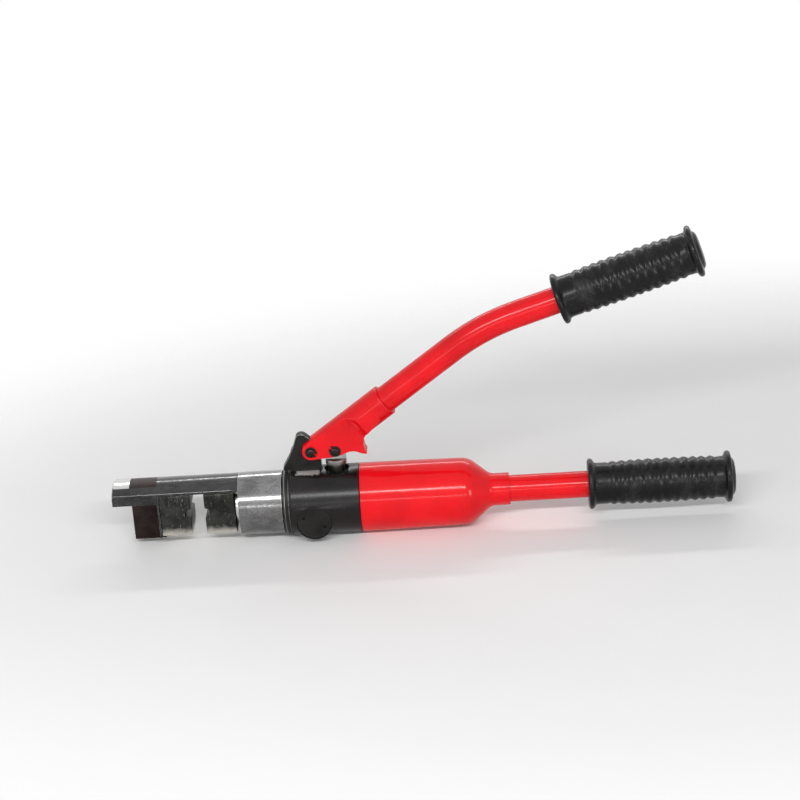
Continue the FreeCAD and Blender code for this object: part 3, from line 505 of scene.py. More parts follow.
def make_black_steel():
    finish = Finish("black_steel", specular_ior_level=0.26)
    rings = finish.noise(90.0, 3.0, 0.6, finish.stretched((25.0, 0.6, 0.6)))
    clouds = finish.noise(38.0, 5.0, 0.65)
    scuffs = finish.noise(160.0, 4.0, 0.75, finish.stretched((1.0, 5.0, 5.0))).above(0.60, 0.78)
    colour = finish.mix(clouds.above(0.3, 0.75), (0.004, 0.0035, 0.0035), (0.013, 0.010, 0.010))
    colour = finish.mix(scuffs * 0.22, colour, (0.13, 0.12, 0.115))
    # A painted highlight: a bright metallic patch on the body's top beside the lug.
    (x0, x1), (y0, y1) = HIGHLIGHT_PATCH
    ragged = finish.noise(220.0, 4.0, 0.7) * 0.006 - 0.003
    x, y, z = (finish.axis(i) for i in range(3))
    inside = ((x + ragged).above(x0 * MM, (x0 + 2) * MM) * (1.0 - (x + ragged).above((x1 - 2) * MM, x1 * MM))
              * (y + ragged).above(y0 * MM, (y0 + 2) * MM) * (1.0 - (y + ragged).above((y1 - 1) * MM, y1 * MM))
              * z.above(20 * MM, 21 * MM))
    painted_glint = inside * finish.noise(420.0, 4.0, 0.7, finish.stretched((1.0, 4.0, 4.0))).above(0.10, 0.30)
    colour = finish.mix(painted_glint, colour, (0.80, 0.79, 0.77))
    finish.feed(Base_Color=colour, Metallic=painted_glint, Roughness=0.15 + clouds * 0.12 + rings * 0.08 + painted_glint * 0.30)
    finish.bump(rings * 0.6 + scuffs * 0.3 - painted_glint * 0.8, 0.05, 0.6)
    return finish.material


BLACK_STEEL = make_black_steel()


# %% [markdown]
# Plug, lug, pins and collar have a plainer black oxide, duller and finely grained.


# %% Black oxide
def make_black_oxide():
    finish = Finish("black_oxide", specular_ior_level=0.16)
    grain = finish.noise(900.0, 4.0, 0.7)
    clouds = finish.noise(60.0, 4.0, 0.6)
    colour = finish.mix(clouds.above(0.3, 0.7), (0.006, 0.006, 0.006), (0.017, 0.016, 0.015))
    finish.feed(Base_Color=colour, Roughness=0.36 + grain * 0.14)
    finish.bump(grain, 0.05, 0.5)
    return finish.material


BLACK_OXIDE = make_black_oxide()


# %% [markdown]
# The plunger, the springs and the valve parts are steel with turning lines, in three tones; the
# strainer is bronze.


# %% Turned steel and bronze
def make_turned_metal(name, light, dark, rough, metallic=1.0):
    finish = Finish(name, metallic=metallic)
    rings = finish.noise(140.0, 3.0, 0.6, finish.stretched((1.0, 1.0, 30.0)))
    clouds = finish.noise(110.0, 4.0, 0.6)
    finish.feed(Base_Color=finish.mix(clouds.above(0.35, 0.7), light, dark), Roughness=rough + rings * 0.15)
    finish.bump(rings, 0.03, 0.5)
    return finish.material


BRIGHT_STEEL = make_turned_metal("bright_steel", (0.66, 0.65, 0.63), (0.44, 0.42, 0.39), 0.16)
PLUNGER_STEEL = make_turned_metal("plunger_steel", (0.40, 0.395, 0.38), (0.20, 0.195, 0.18), 0.22)
SPRING_STEEL = make_turned_metal("spring_steel", (0.40, 0.41, 0.43), (0.22, 0.22, 0.23), 0.26)
BRONZE = make_turned_metal("bronze", (0.62, 0.40, 0.19), (0.40, 0.24, 0.10), 0.28)


# %% [markdown]
# The grips are moulded black rubber, half dull, with a fine leathery grain and pale dust in places.
# Seals and the oil bag are a duller, plainer rubber.


# %% Rubbers
def make_rubber(name, dark, pale, rough, grain_mm):
    finish = Finish(name, specular_ior_level=0.20)
    grain = finish.noise(1500.0, 4.0, 0.7)
    clouds = finish.noise(55.0, 4.0, 0.6)
    dust = (clouds + finish.noise(700.0, 3.0, 0.7) * 0.4).above(0.72, 0.90)
    colour = finish.mix(clouds.above(0.3, 0.75), dark, pale)
    colour = finish.mix(dust * 0.12, colour, (0.12, 0.115, 0.11))
    finish.feed(Base_Color=colour, Roughness=rough + grain * 0.14 + dust * 0.15)
    finish.bump(grain, grain_mm, 0.6)
    return finish.material


GRIP_RUBBER = make_rubber("grip_rubber", (0.004, 0.004, 0.0042), (0.007, 0.0066, 0.007), 0.20, 0.012)
SEAL_RUBBER = make_rubber("seal_rubber", (0.015, 0.015, 0.016), (0.030, 0.028, 0.027), 0.45, 0.02)
BAG_RUBBER = make_rubber("bag_rubber", (0.030, 0.028, 0.026), (0.055, 0.050, 0.045), 0.50, 0.04)

# %% [markdown]
# The head is one round bar, milled to a C. It is turned first, and then plates, boxes and rods take
# away the side flats, the throat, the bore and the waste round the anvil's foot. The barrel is
# 0.3 mm larger than the milled front, as in the solid; the photograph shows no such step. The edges
# are rounded last, because a milled edge is broken with a file and catches the light.

# %% Head
HEAD_R, BARREL_R = 24.0, 24.3
TIP_X, FOOT_X, ANVIL_X = -64.8, -50.9, -29.4
BARREL_X, BARREL_END, SLEEVE_END = 32.3, 66.3, 80.0
FLAT_Y, THROAT_TOP, SPINE_UNDER = 15.0, 16.8, 10.1
FOOT_HALF, FOOT_DROP, SEAT_PLATE = 9.0, 21.3, 1.2
LIP_TOP, LIP_LENGTH = -18.0, 3.8
BORE_R, NOSE_HOLE_R, SLEEVE_R, NOSE_WALL = 19.0, 13.85, 22.5, 7.2
FLAT_CORNER, FOOT_ROOT, HEAD_EDGE = 6.0, 2.5, 0.9
FAR = 40.0   # well outside the tool, for everything that is only taken away


def make_head():
    bar = turned("head_bar", [(TIP_X, HEAD_R - 1.6), (TIP_X + 0.5, HEAD_R - 0.6), (TIP_X + 1.6, HEAD_R),
                              (BARREL_X, HEAD_R), (BARREL_X + 0.1, BARREL_R), (BARREL_END - 0.8, BARREL_R),
                              (BARREL_END, BARREL_R - 0.8), (BARREL_END, SLEEVE_R),
                              (SLEEVE_END, SLEEVE_R)], 128)
    cutters = []
    for side in (-1, 1):
        y = sorted((side * FLAT_Y, side * FAR))
        flat = plate("side_flat", flat_outline(), (y[1] - y[0]) / 2, (y[0] + y[1]) / 2)
        y = sorted((side * FOOT_HALF, side * FAR))
        beside = box("beside_foot", (FOOT_X - 1, y[0], -FAR), (ANVIL_X - SEAT_PLATE, y[1], SPINE_UNDER))
        cutters += [flat, round_foot_root(beside, side)]
    cutters.append(plate("throat", throat_outline(), FAR))
    cutters.append(box("under_tip", (TIP_X - 1, -FAR, -FAR), (FOOT_X, FAR, SPINE_UNDER)))
    cutters.append(box("under_foot", (FOOT_X - 1, -FAR, -FAR), (0, FAR, -FOOT_DROP)))
    cutters.append(rod("nose_hole", NOSE_HOLE_R, (BARREL_X - 1, 0, 0), (SLEEVE_END, 0, 0), 96))
    cutters.append(rod("cylinder_bore", BORE_R, (BARREL_X + NOSE_WALL, 0, 0), (SLEEVE_END + 1, 0, 0), 96))
    cut_away(bar, *cutters)
    lay_finishes(bar, GROUND_STEEL, RUBBED_LIT_EDGE)
    soften(bar, HEAD_EDGE, 3, finish=1)
    return smooth(bar, 40)


def flat_outline():
    """Side view of the milled flat: it ends at the barrel in a wall with a rounded upper corner."""
    corner = FLAT_CORNER
    top = math.sqrt(HEAD_R ** 2 - FLAT_Y ** 2)
    points = [(TIP_X - 2, -FAR), (BARREL_X, -FAR)]
    for step in range(9):
        a = math.radians(step * 90 / 8)
        points.append((BARREL_X - corner + corner * math.cos(a), top - corner + corner * math.sin(a)))
    return points + [(BARREL_X - corner - 1, FAR), (TIP_X - 2, FAR)]


def throat_outline():
    """Side view of the throat: the foot keeps a hollow lip under the die."""
    points = [(ANVIL_X, THROAT_TOP), (ANVIL_X, LIP_TOP), (ANVIL_X + LIP_LENGTH, LIP_TOP)]
    for step in range(9):
        a = math.radians(104 + step * 9)
        points.append((ANVIL_X + 4.7 + 3.9 * math.cos(a), LIP_TOP - 4.0 + 3.9 * math.sin(a)))
    return points + [(ANVIL_X + 0.8, -FAR), (BARREL_X, -FAR), (BARREL_X, THROAT_TOP)]


def round_foot_root(waste, side):
    """Leaves a radius where the foot runs up into the spine."""
    pick(waste)
    bpy.ops.object.mode_set(mode="EDIT")
    bpy.ops.mesh.select_mode(type="EDGE")
    bpy.ops.mesh.select_all(action="DESELECT")
    bpy.ops.object.mode_set(mode="OBJECT")
    for edge in waste.data.edges:
        ends = [waste.data.vertices[i].co for i in edge.vertices]
        edge.select = all(abs(p.z - SPINE_UNDER * MM) < 1e-6 and abs(p.y - side * FOOT_HALF * MM) < 1e-6
                          for p in ends)
    bpy.ops.object.mode_set(mode="EDIT")
    bpy.ops.mesh.bevel(offset=FOOT_ROOT * MM, segments=6)
    bpy.ops.object.mode_set(mode="OBJECT")
    return waste


stand_for(make_head(), None, "head", "chrome", "c_head")

# %% [markdown]
# The two dies are blocks with half a hexagon milled across the face. Each is a cube stretched to size,
# with its edges chamfered; a hexagonal bar and two cones at its ends are then taken out of the face.

# %% Dies
DIE_GAP_HALF, DIE_DEPTH, DIE_HALF, DIE_TOP, DIE_LOW = 5.4, 24.0, 14.8, 16.5, 17.7
NEST_MOUTH, NEST_DEEP = 4.5, 3.9
CONE_WIDE_R, CONE_NARROW_R, CONE_LONG = 6.2, 3.6, 3.0
NUB_R, NUB_START, NUB_END = 4.0, 29.0, 36.4


def make_die(name, side):
    x = sorted((side * DIE_GAP_HALF, side * (DIE_GAP_HALF + DIE_DEPTH)))
    block = box(name, (x[0], -DIE_HALF, -DIE_LOW), (x[1], DIE_HALF, DIE_TOP))
    soften(block, 0.9, 1)
    floor = NEST_MOUTH - NEST_DEEP / math.sqrt(3)
    face = side * DIE_GAP_HALF
    outline = [(face - side * 1.0, -NEST_MOUTH), (face, -NEST_MOUTH), (face + side * NEST_DEEP, -floor),
               (face + side * NEST_DEEP, floor), (face, NEST_MOUTH), (face - side * 1.0, NEST_MOUTH)]
    cut_away(block, plate("nest", outline, DIE_HALF + 1))
    for end in (-1, 1):
        bpy.ops.object.select_all(action="DESELECT")
        bpy.ops.mesh.primitive_cone_add(vertices=48, radius1=CONE_WIDE_R * MM, radius2=CONE_NARROW_R * MM,
                                        depth=CONE_LONG * MM, location=(face * MM, end * DIE_HALF * MM, 0),
                                        rotation=(math.radians(90 * end), 0, 0))
        cut_away(block, settle(bpy.context.object))
    join_on(block, rod("nub", NUB_R, (side * NUB_START, 0, 0), (side * NUB_END, 0, 0), 48))
    lay_finishes(block, DIE_STEEL, RUBBED_LIT_EDGE)
    soften(block, 0.25, 2, finish=1)
    return smooth(block)


stand_for(make_die("anvil_jaw", -1), None, "head", "die_steel", "anvil_die")
stand_for(make_die("ram_jaw", 1), None, "ram", "die_steel", "ram_die")

# %% [markdown]
# The pump body keeps the shape of its solid, with every drilling in it. Its copy only gets its edges
# broken. The lug, the plunger and the collar are made the same way.

# %% Pump body, lug, plunger and collar
stand_for(from_solid("pump_body", "pump_block", 0.35), BLACK_STEEL, "pump", "black_steel", "pump_body")
WORN_LIT_BLACK_EDGES = (BLACK_OXIDE, WORN_LIT_BLACK)
stand_for(from_solid("fulcrum_lug", "lug_plate", 0.45, 30.0, WORN_LIT_BLACK_EDGES), None, "pump", "black_steel",
          "fulcrum_lug")
stand_for(from_solid("plunger", "plunger_bar", 0.35), PLUNGER_STEEL, "plunger", "plain_steel", "plunger")
stand_for(from_solid("swivel_collar", "collar_ring", 0.25, 30.0, WORN_LIT_BLACK_EDGES), None, "pump",
          "black_steel", "swivel_collar")

# %% [markdown]
# The side plug is a flat disc with a raised thin rim and two small holes for a pin spanner. It is
# turned as one profile and then drilled 2 mm deep. That goes just through the flange, 1.9 mm thick; in
# the solid the holes are 1.8 mm deep and blind.

# %% Side plug
PLUG_X, PLUG_Z, PLUG_BACK_Y, PLUG_FACE_Y = 89.5, -7.5, -23.9, -25.8
PLUG_R, SHANK_R, SHANK_END_Y = 13.2, 8.5, -18.2
SPANNER_PITCH, SPANNER_ANGLE, SPANNER_R = 17.6, -26.0, 1.1


def make_plug():
    plug = turned("valve_plug", [(SHANK_END_Y, SHANK_R), (PLUG_BACK_Y, SHANK_R), (PLUG_BACK_Y, PLUG_R),
                                 (PLUG_FACE_Y + 0.4, PLUG_R), (PLUG_FACE_Y + 0.1, 12.9), (PLUG_FACE_Y, 12.4),
                                 (PLUG_FACE_Y + 0.3, 11.9), (PLUG_FACE_Y + 0.35, 11.4)])
    turn_across(plug, PLUG_X, PLUG_Z)
    a = math.radians(SPANNER_ANGLE)
    for side in (-1, 1):
        x = PLUG_X + side * SPANNER_PITCH / 2 * math.cos(a)
        z = PLUG_Z + side * SPANNER_PITCH / 2 * math.sin(a)
        cut_away(plug, rod("spanner_hole", SPANNER_R, (x, PLUG_FACE_Y - 1, z), (x, PLUG_FACE_Y + 2, z), 24))
    lay_finishes(plug, BLACK_OXIDE, WORN_LIT_BLACK)
    soften(plug, 0.12, 2, finish=1)
    return smooth(plug)


stand_for(make_plug(), None, "pump", "black_steel", "side_plug")

# %% [markdown]
# The lever is a casting: a round socket for the handle that flattens into a fork. The blank is a
# plate joined to a bar, milled on both sides with a large round cutter. A casting has no sharp
# edges, so the blank is remeshed into a fine even skin and smoothed, and only then bored and slotted.

# %% Lever casting
PIVOT = (90.2, 43.0)
PIN_SPACING = 18.2
SOCKET_ANGLE, SOCKET_END, SOCKET_R = 36.0, (149.4, 80.7), 12.45
CHEEK_HALF, SLOT_HALF = 6.7, 3.45
NOSE_R, PIN_HOLE_R, TUBE_R = 7.0, 2.52, 10.25
FORK_START, RUN_OUT_R = -38.0, 18.0        # along the socket from its end, and the round cutter
BACK_X, SLOT_FRONT, SLOT_TOP, SLOT_LEAN = -4.4, 7.1, 8.6, 48.0
SKIN_VOXEL = 0.55


def along_socket(u, n=0.0):
    a = math.radians(SOCKET_ANGLE)
    return (SOCKET_END[0] + u * math.cos(a) - n * math.sin(a),
            SOCKET_END[1] + u * math.sin(a) + n * math.cos(a))


def lean_to_socket(obj):
    """A piece made round the origin moves to the socket's end and leans with it."""
    obj.location = (SOCKET_END[0] * MM, 0, SOCKET_END[1] * MM)
    obj.rotation_euler = (0, -math.radians(SOCKET_ANGLE), 0)
    return settle(obj)


def socket_rod(name, r, u0, u1):
    """A round bar on the socket's axis between two places along it."""
    start, end = along_socket(u0), along_socket(u1)
    return rod(name, r, (start[0], 0, start[1]), (end[0], 0, end[1]), 96)


def from_pivot(*points):
    return [(PIVOT[0] + x, PIVOT[1] + z) for x, z in points]


def make_casting():
    nose = from_pivot(*[(NOSE_R * math.cos(math.radians(a)), NOSE_R * math.sin(math.radians(a)))
                        for a in range(165, 280, 15)])
    low = from_pivot((10.1, -5.9), (19.7, -5.0), (25.2, -3.2), (28.6, -1.7), (31.9, -1.3), (35.0, -1.9),
                     (38.3, -3.4), (43.1, -4.3), (41.2, -1.0), (40.3, 4.0), (41.2, 9.6), (43.1, 13.2))
    top = [along_socket(-12.0, -7.5), along_socket(-5.0, 0.0), along_socket(-11.0, 6.0)]
    back = PIVOT[0] + BACK_X
    blank = plate("lever_arm", nose + low + top + [(back, PIVOT[1] + 10.5)], SOCKET_R)
    bar = socket_rod("socket_bar", SOCKET_R, -80.0, 0.0)
    cut_away(bar, box("behind_nose", (0, -FAR, -20), (back, FAR, 140)))
    under = plate("under_bar", [(back - 20, -20)] + from_pivot((-10, 0), (0, 0), (43.1, 13.2))
                  + [along_socket(-30.0, -20.0), (200, -20)], FAR)
    cut_away(bar, under)
    join_on(blank, bar)
    over = box("over_ridge", (-120, -FAR, 0), (10, FAR, 60))
    cut_away(over, rod("ridge_bar", SOCKET_R + 0.06, (-130, 0, 0), (20, 0, 0), 90))
    cut_away(blank, lean_to_socket(over))
    for side in (-1, 1):
        y = sorted((side * CHEEK_HALF, side * FAR))
        waste = box("side_waste", (-140, y[0], -80), (FORK_START, y[1], 80))
        cutter_y = side * (CHEEK_HALF + RUN_OUT_R)
        hollow = rod("run_out", RUN_OUT_R, (FORK_START, cutter_y, -80), (FORK_START, cutter_y, 80), 96)
        join_on(waste, hollow)
        cut_away(blank, lean_to_socket(waste))
    apply_modifier(blank, "REMESH", mode="VOXEL", voxel_size=SKIN_VOXEL * MM, adaptivity=0.0)
    apply_modifier(blank, "SMOOTH", factor=0.5, iterations=9)
    cut_away(blank, socket_rod("socket_bore", TUBE_R + 0.05, -30.0, 2.0))
    cut_away(blank, box("fork_slot", (PIVOT[0] - 20, -SLOT_HALF, PIVOT[1] - 20),
                        (PIVOT[0] + 30, SLOT_HALF, PIVOT[1] + SLOT_TOP)))
    front = box("fork_front", (-20, -SLOT_HALF, -20), (SLOT_FRONT, SLOT_HALF, 40))
    front.location = (PIVOT[0] * MM, 0, PIVOT[1] * MM)
    front.rotation_euler = (0, -math.radians(SLOT_LEAN), 0)
    cut_away(blank, settle(front))
    for x in (PIVOT[0], PIVOT[0] + PIN_SPACING):
        cut_away(blank, rod("pin_hole", PIN_HOLE_R, (x, -20, PIVOT[1]), (x, 20, PIVOT[1]), 48))
    return smooth(blank, 50)


stand_for(make_casting(), RED_PAINT, "lever", "red_paint", "lever_casting")

# %% [markdown]
# Each cross pin is a short bar with chamfered, slightly domed ends. A thin split ring sits at each end.

# %% Pins and retaining rings
PIN_R = 2.5
RING_GAP, RING_STEPS = 11, 60              # degrees on each side of the gap's middle
EAR_R, EAR_SPAN, RING_R, RING_SWELL = 4.9, 30, 4.1, 0.5
RING_HALF, RING_OFF = 0.42, 0.46


def make_pin(name, x):
    half = CHEEK_HALF + 2.5
    pin = turned(name, [(-half, 1.2), (-half + 0.3, 2.0), (-half + 0.8, PIN_R), (-CHEEK_HALF - 1.0, PIN_R),
                        (half - 0.8, PIN_R), (half - 0.3, 2.0), (half, 1.2)], 48)
    lay_finishes(turn_across(pin, x, PIVOT[1]), BLACK_OXIDE, WORN_LIT_BLACK)
    return smooth(soften(pin, 0.3, 2, finish=1))


stand_for(make_pin("front_pin", PIVOT[0]), None, "lever", "black_steel", "fulcrum_pin")
stand_for(make_pin("rear_pin", PIVOT[0] + PIN_SPACING), None, "lever", "black_steel", "plunger_pin")


def ring_outline(x, ears_at):
    """A split ring that is thickest opposite its gap and ends in two ears for the pliers."""
    outer, inner = [], []
    for step in range(RING_STEPS + 1):
        away = RING_GAP + step * ((360 - 2 * RING_GAP) / RING_STEPS)
        a = math.radians(ears_at + away)
        from_gap = min(away, 360 - away)
        swell = RING_SWELL * (1 - math.cos(math.radians(from_gap))) / 2
        r = EAR_R if from_gap < EAR_SPAN else RING_R + swell
        outer.append((x + r * math.cos(a), PIVOT[1] + r * math.sin(a)))
        inner.append((x + PIN_HOLE_R * math.cos(a), PIVOT[1] + PIN_HOLE_R * math.sin(a)))
    return outer + inner[::-1]


def make_retaining_rings():
    rings = []
    for x, ears_at in ((PIVOT[0], -28.0), (PIVOT[0] + PIN_SPACING, 140.0)):
        for side in (-1, 1):
            ring = plate("retaining_rings", ring_outline(x, ears_at), RING_HALF,
                         side * (CHEEK_HALF + RING_OFF))
            rings.append(soften(ring, 0.15, 2))
    pick(*rings)
    bpy.ops.object.join()
    return smooth(bpy.context.object)


stand_for(make_retaining_rings(), BLACK_OXIDE, "lever", "black_steel", "pin_circlips")

# %% [markdown]
# The upper handle is a tube bent once on a mandrel. A ring is extruded along the straight run, then
# turned a little at a time round the bend's centre, and extruded again.

# %% Handle tubes
BEND, BEND_R, UPPER_ANGLE, TO_GRIP = (224.7, 135.4), 170.0, 17.4, 60.9
GRIP_LONG, GRIP_OVER = 112.5, 6.0          # the grip's closed end stands past the tube
TUBE_WALL, TUBE_BORE_R = 2.2, 8.05
LOWER_START, LOWER_END = 227.7, 406.6


def make_upper_tube():
    a, b = math.radians(SOCKET_ANGLE), math.radians(UPPER_ANGLE)
    half = (a - b) / 2
    setback = BEND_R * math.tan(half)
    start = along_socket(-29.6)
    run_end = (BEND[0] - setback * math.cos(a), BEND[1] - setback * math.sin(a))
    centre = (run_end[0] + BEND_R * math.sin(a), run_end[1] - BEND_R * math.cos(a))
    bpy.ops.object.select_all(action="DESELECT")
    bpy.ops.mesh.primitive_circle_add(vertices=96, radius=TUBE_R * MM,
                                      location=(start[0] * MM, 0, start[1] * MM),
                                      rotation=(0, math.radians(90) - a, 0))
    tube = bpy.context.object
    tube.name = "bent_tube"
    settle(tube)
    edit_all()
    move = ((run_end[0] - start[0]) * MM, 0, (run_end[1] - start[1]) * MM)
    bpy.ops.mesh.extrude_region_move(TRANSFORM_OT_translate={"value": move})
    bpy.ops.mesh.spin(steps=16, angle=-2 * half, center=(centre[0] * MM, 0, centre[1] * MM), axis=(0, 1, 0))
    tail = TO_GRIP + GRIP_LONG - GRIP_OVER - setback
    bpy.ops.mesh.extrude_region_move(
        TRANSFORM_OT_translate={"value": (tail * math.cos(b) * MM, 0, tail * math.sin(b) * MM)})
    bpy.ops.object.mode_set(mode="OBJECT")
    close_up(tube)
    edit_all()
    bpy.ops.mesh.select_face_by_sides(number=4, type="GREATER", extend=False)
    bpy.ops.mesh.delete(type="FACE")
    bpy.ops.object.mode_set(mode="OBJECT")
    apply_modifier(tube, "SOLIDIFY", thickness=TUBE_WALL * MM, offset=-1.0)
    return smooth(tube)


def make_lower_tube():
    tube = turned("straight_tube", [(LOWER_START, TUBE_R), (LOWER_END, TUBE_R), (LOWER_END, TUBE_BORE_R),
                                    (LOWER_START, TUBE_BORE_R), (LOWER_START, TUBE_R)], closed=True)
    return smooth(tube)


stand_for(make_upper_tube(), RED_PAINT, "handle", "red_paint", "upper_tube")
stand_for(make_lower_tube(), RED_PAINT, "pump", "red_paint", "lower_tube")

# %% [markdown]
# The oil tank is one piece: a long, slightly tapering barrel, a round shoulder, a hollow cone and a
# collar for the handle tube. Its wall is turned inside and out in one closed profile, whose own
# corners are rounded.

# %% Tank
TANK_X, TANK_R, SHOULDER_X, CONE_END, TANK_END = 125.45, 26.5, 208.95, 226.45, 239.65


def make_tank():
    outer = [(TANK_X, 23.3), (TANK_X, 25.9), (TANK_X + 0.2, 26.3), (TANK_X + 0.8, TANK_R),
             (TANK_X + 40, 26.15), (SHOULDER_X - 6.5, 25.8), (SHOULDER_X - 3.5, 25.6),
             (SHOULDER_X - 1.0, 25.0), (SHOULDER_X + 1.4, 24.0), (SHOULDER_X + 3.4, 22.8),
             (CONE_END - 4.6, 15.0), (CONE_END - 2.8, 13.7), (CONE_END - 1.0, 12.8), (CONE_END + 1.0, 12.4),
             (TANK_END - 0.8, 12.4), (TANK_END - 0.2, 12.15), (TANK_END, 11.7)]
    inner = [(TANK_END, 10.3), (TANK_END - 12, 10.3), (TANK_END - 12, 9.4), (CONE_END - 3.5, 9.4),
             (SHOULDER_X + 1.0, 20.5), (SHOULDER_X - 6.0, 22.6), (TANK_X + 8.0, 23.3)]
    tank = turned("oil_tank", outer + inner + [outer[0]], 128, closed=True)
    return smooth(tank, 30)


stand_for(make_tank(), RED_PAINT, "pump", "red_paint", "tank_shell")

# %% [markdown]
# A grip is soft rubber pushed over the tube: a thin flange, a plain neck, twelve ripples that swell
# towards the middle, a second neck, a thicker flange and a domed end. The ripples aren't perfect
# rings: the mould makes them wander, so a gentle wave is pushed into the rings after turning.

# %% Grips
RIB_COUNT, RIB_PITCH, NECK_START = 12, 6.8, 16.0
LOWER_GRIP_X, GRIP_BORE_R, GRIP_CAP = 299.7, 10.3, 5.5
WANDER, WANDER_WAVES = 0.45, 6


def grip_profile():
    points = [(0.0, 10.4), (0.0, 17.6), (0.5, 18.9), (1.5, 19.5), (2.8, 19.4), (3.9, 18.7), (4.7, 17.3),
              (5.5, 16.3), (7.0, 15.95), (NECK_START - 1.6, 15.9)]
    for i in range(RIB_COUNT):
        crown = 1.0 - ((i + 0.5) / RIB_COUNT * 2 - 1) ** 2
        for share in (0.0, 0.12, 0.3, 0.5, 0.7, 0.88):
            swell = 0.5 - 0.5 * math.cos(2 * math.pi * share)
            points.append((NECK_START + (i + share) * RIB_PITCH, 15.3 + 0.7 * crown + swell ** 0.8 * 1.25))
    end = GRIP_LONG - 8.0
    points += [(NECK_START + RIB_COUNT * RIB_PITCH, 15.5), (end - 4.0, 15.8), (end - 0.9, 15.9),
               (end - 0.2, 16.8), (end + 0.4, 18.6), (end + 1.5, 19.7), (end + 3.0, 19.8), (end + 4.2, 19.2),
               (end + 4.8, 17.6), (end + 5.0, 15.6), (end + 5.4, 14.5), (end + 6.6, 13.6), (end + 7.5, 11.8),
               (GRIP_LONG, 8.0), (GRIP_LONG, 0.6)]
    return points


def make_grip(name):
    grip = turned(name, grip_profile(), 112)
    for vertex in grip.data.vertices:
        x = vertex.co.x / MM
        if NECK_START < x < NECK_START + RIB_COUNT * RIB_PITCH:
            turn = math.atan2(vertex.co.z, vertex.co.y)
            share = (x - NECK_START) / (RIB_COUNT * RIB_PITCH)
            fade = math.sin(math.pi * share) ** 0.5
            vertex.co.x += WANDER * MM * fade * math.sin(WANDER_WAVES * turn + 1.7 * x / RIB_PITCH)
    cut_away(grip, rod("tube_room", GRIP_BORE_R, (-2, 0, 0), (GRIP_LONG - GRIP_CAP, 0, 0), 96))
    return grip


lower_grip = make_grip("lower_hand_grip")
upper_grip = lower_grip.copy()
upper_grip.data = lower_grip.data.copy()
upper_grip.name = "upper_hand_grip"
bpy.context.collection.objects.link(upper_grip)
lower_grip.location = (LOWER_GRIP_X * MM, 0, 0)
upper_grip.location = ((BEND[0] + TO_GRIP * math.cos(math.radians(UPPER_ANGLE))) * MM, 0,
                       (BEND[1] + TO_GRIP * math.sin(math.radians(UPPER_ANGLE))) * MM)
upper_grip.rotation_euler = (0, -math.radians(UPPER_ANGLE), 0)
stand_for(smooth(settle(lower_grip), 60), GRIP_RUBBER, "pump", "grip_rubber", "lower_grip")
stand_for(smooth(settle(upper_grip), 60), GRIP_RUBBER, "handle", "grip_rubber", "upper_grip")

# %% [markdown]
# All the other solids keep their shapes and only get a finish. The guide bush is black here, though the
# record calls it bronze.

# %% Finishes of the solids that stay
KEPT = {
    BRIGHT_STEEL: ["ram", "swivel_wire_ring", "relief_screw", "delivery_stop", "return_rod",
                   "ram_spring_retainer", "bladder_clamp", "twist_screw"],
    SPRING_STEEL: ["relief_spring", "suction_spring", "delivery_spring", "ram_return_spring", "relief_ball",
                   "suction_ball", "delivery_ball"],
    BRONZE: ["suction_strainer"],
    BLACK_OXIDE: ["plunger_bush"],
    SEAL_RUBBER: ["ram_wiper", "anvil_nub_ring", "ram_nub_ring", "ram_seal", "head_seal", "plug_seal",
                  "plunger_seal", "tank_seal"],
    BAG_RUBBER: ["oil_bladder"],
}
for finish, names in KEPT.items():
    for name in names:
        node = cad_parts[name]
        node.data.materials.clear()
        node.data.materials.append(finish)
print("kept solids:", sum(len(names) for names in KEPT.values()))

# %% [markdown]
# The floor is one pale sheet that fades out into the world and keeps the tool's soft shadow. The
# camera, mirrors and glass see that world white. Long narrow lamps draw a bright line along each round
# piece: one in front and above, a low one in front and one behind, at the height that puts its line on
# the head where the photograph has one. Two small ones stand low on the left and right.

# %% Floor and light
FLOOR_Z = cad_box[0][2]
FLOOR_SIZE, FLOOR_DROP = 12.0, 0.0002      # metres; the tool floats a hair above the paper
PAPER, PAPER_LIGHT = (0.86, 0.86, 0.86), (0.88, 0.88, 0.88)
WHITE, SOFT_STRENGTH = (1.0, 1.0, 1.0, 1.0), 0.30
LAMPS = [   # name, place, length, height, watts
    ("key_light", (0.10, -1.17, 0.97), 1.5, 0.10, 15.0),
    ("front_light", (0.10, -1.50, 0.32), 1.5, 0.06, 2.4),
    ("back_light", (0.10, 1.05, 0.72), 1.5, 0.06, 5.0),
    ("left_light", (-1.05, -1.0, 0.30), 0.30, 0.4, 3.0),
    ("right_light", (1.25, -1.0, 0.30), 0.30, 0.4, 3.0),
]


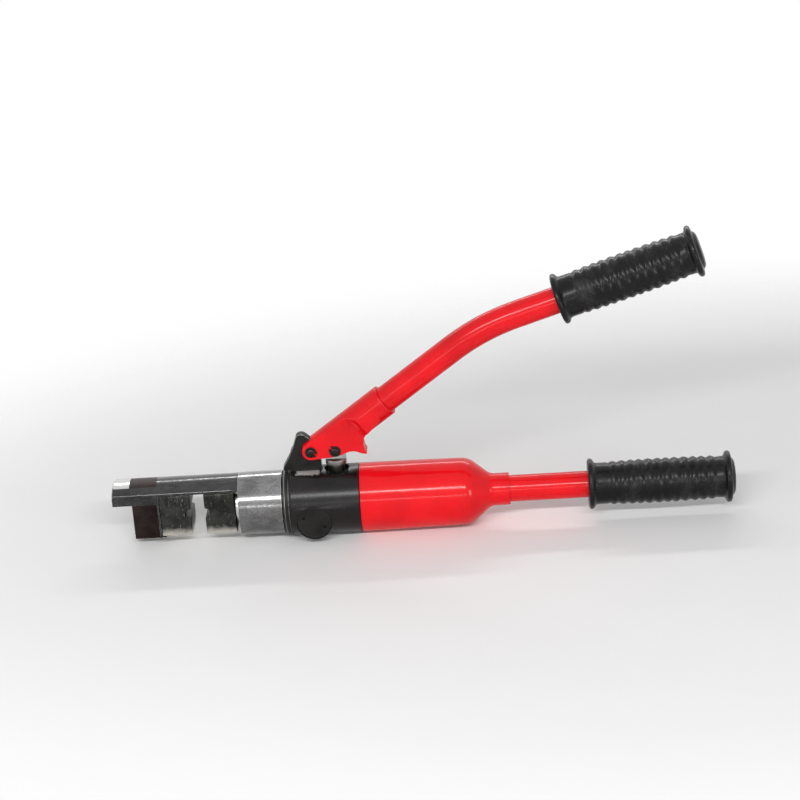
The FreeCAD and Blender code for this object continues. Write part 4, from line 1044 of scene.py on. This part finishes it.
def fade_out(finish):
    """The paper fades into the white beyond it, so that no horizon shows."""
    x, y = finish.axis(0), finish.axis(1)
    far = ((x - 0.18) * (x - 0.18) * 0.45 + y * y).above(0.05, 0.30)
    clear = finish.add("ShaderNodeBsdfTransparent")
    choose = finish.nodes.new("ShaderNodeMixShader")
    finish.links.new(far.socket, choose.inputs[0])
    finish.links.new(finish.shader.outputs[0], choose.inputs[1])
    finish.links.new(clear.socket, choose.inputs[2])
    finish.links.new(choose.outputs[0], finish.nodes["Material Output"].inputs[0])


def make_floor():
    bpy.ops.object.select_all(action="DESELECT")
    bpy.ops.mesh.primitive_plane_add(size=FLOOR_SIZE, location=(0.2, 0, FLOOR_Z - FLOOR_DROP))
    floor = bpy.context.object
    floor.name = "studio_floor"
    finish = Finish("studio_paper", PAPER, 0.9)
    finish.feed(Base_Color=finish.mix(finish.noise(30.0), PAPER, PAPER_LIGHT))
    fade_out(finish)
    floor.data.materials.append(finish.material)


def make_lamp(name, spot, long, high, power, aim=(0.15, 0.0, 0.03)):
    bpy.ops.object.light_add(type="AREA", location=spot)
    lamp = bpy.context.object
    lamp.name = name
    lamp.data.shape = "RECTANGLE"
    lamp.data.size = long
    lamp.data.size_y = high
    lamp.data.energy = power
    lamp.rotation_euler = (Vector(aim) - Vector(spot)).to_track_quat("-Z", "Y").to_euler()


def make_world():
    world = bpy.data.worlds.new("studio")
    bpy.context.scene.world = world
    world.use_nodes = True
    nodes, links = world.node_tree.nodes, world.node_tree.links
    soft = nodes["Background"]
    soft.inputs["Color"].default_value = WHITE
    soft.inputs["Strength"].default_value = SOFT_STRENGTH
    white = nodes.new("ShaderNodeBackground")
    white.inputs["Color"].default_value = WHITE
    white.inputs["Strength"].default_value = 1.0
    rays = nodes.new("ShaderNodeLightPath")
    seen = rays.outputs["Is Camera Ray"]
    for name in ("Is Glossy Ray", "Is Transmission Ray"):
        either = nodes.new("ShaderNodeMath")
        either.operation = "MAXIMUM"
        links.new(seen, either.inputs[0])
        links.new(rays.outputs[name], either.inputs[1])
        seen = either.outputs[0]
    choose = nodes.new("ShaderNodeMixShader")
    links.new(seen, choose.inputs[0])
    links.new(soft.outputs[0], choose.inputs[1])
    links.new(white.outputs[0], choose.inputs[2])
    links.new(choose.outputs[0], nodes["World Output"].inputs[0])


make_floor()
make_world()
for lamp in LAMPS:
    make_lamp(*lamp)
bpy.context.scene.view_settings.view_transform = "Standard"
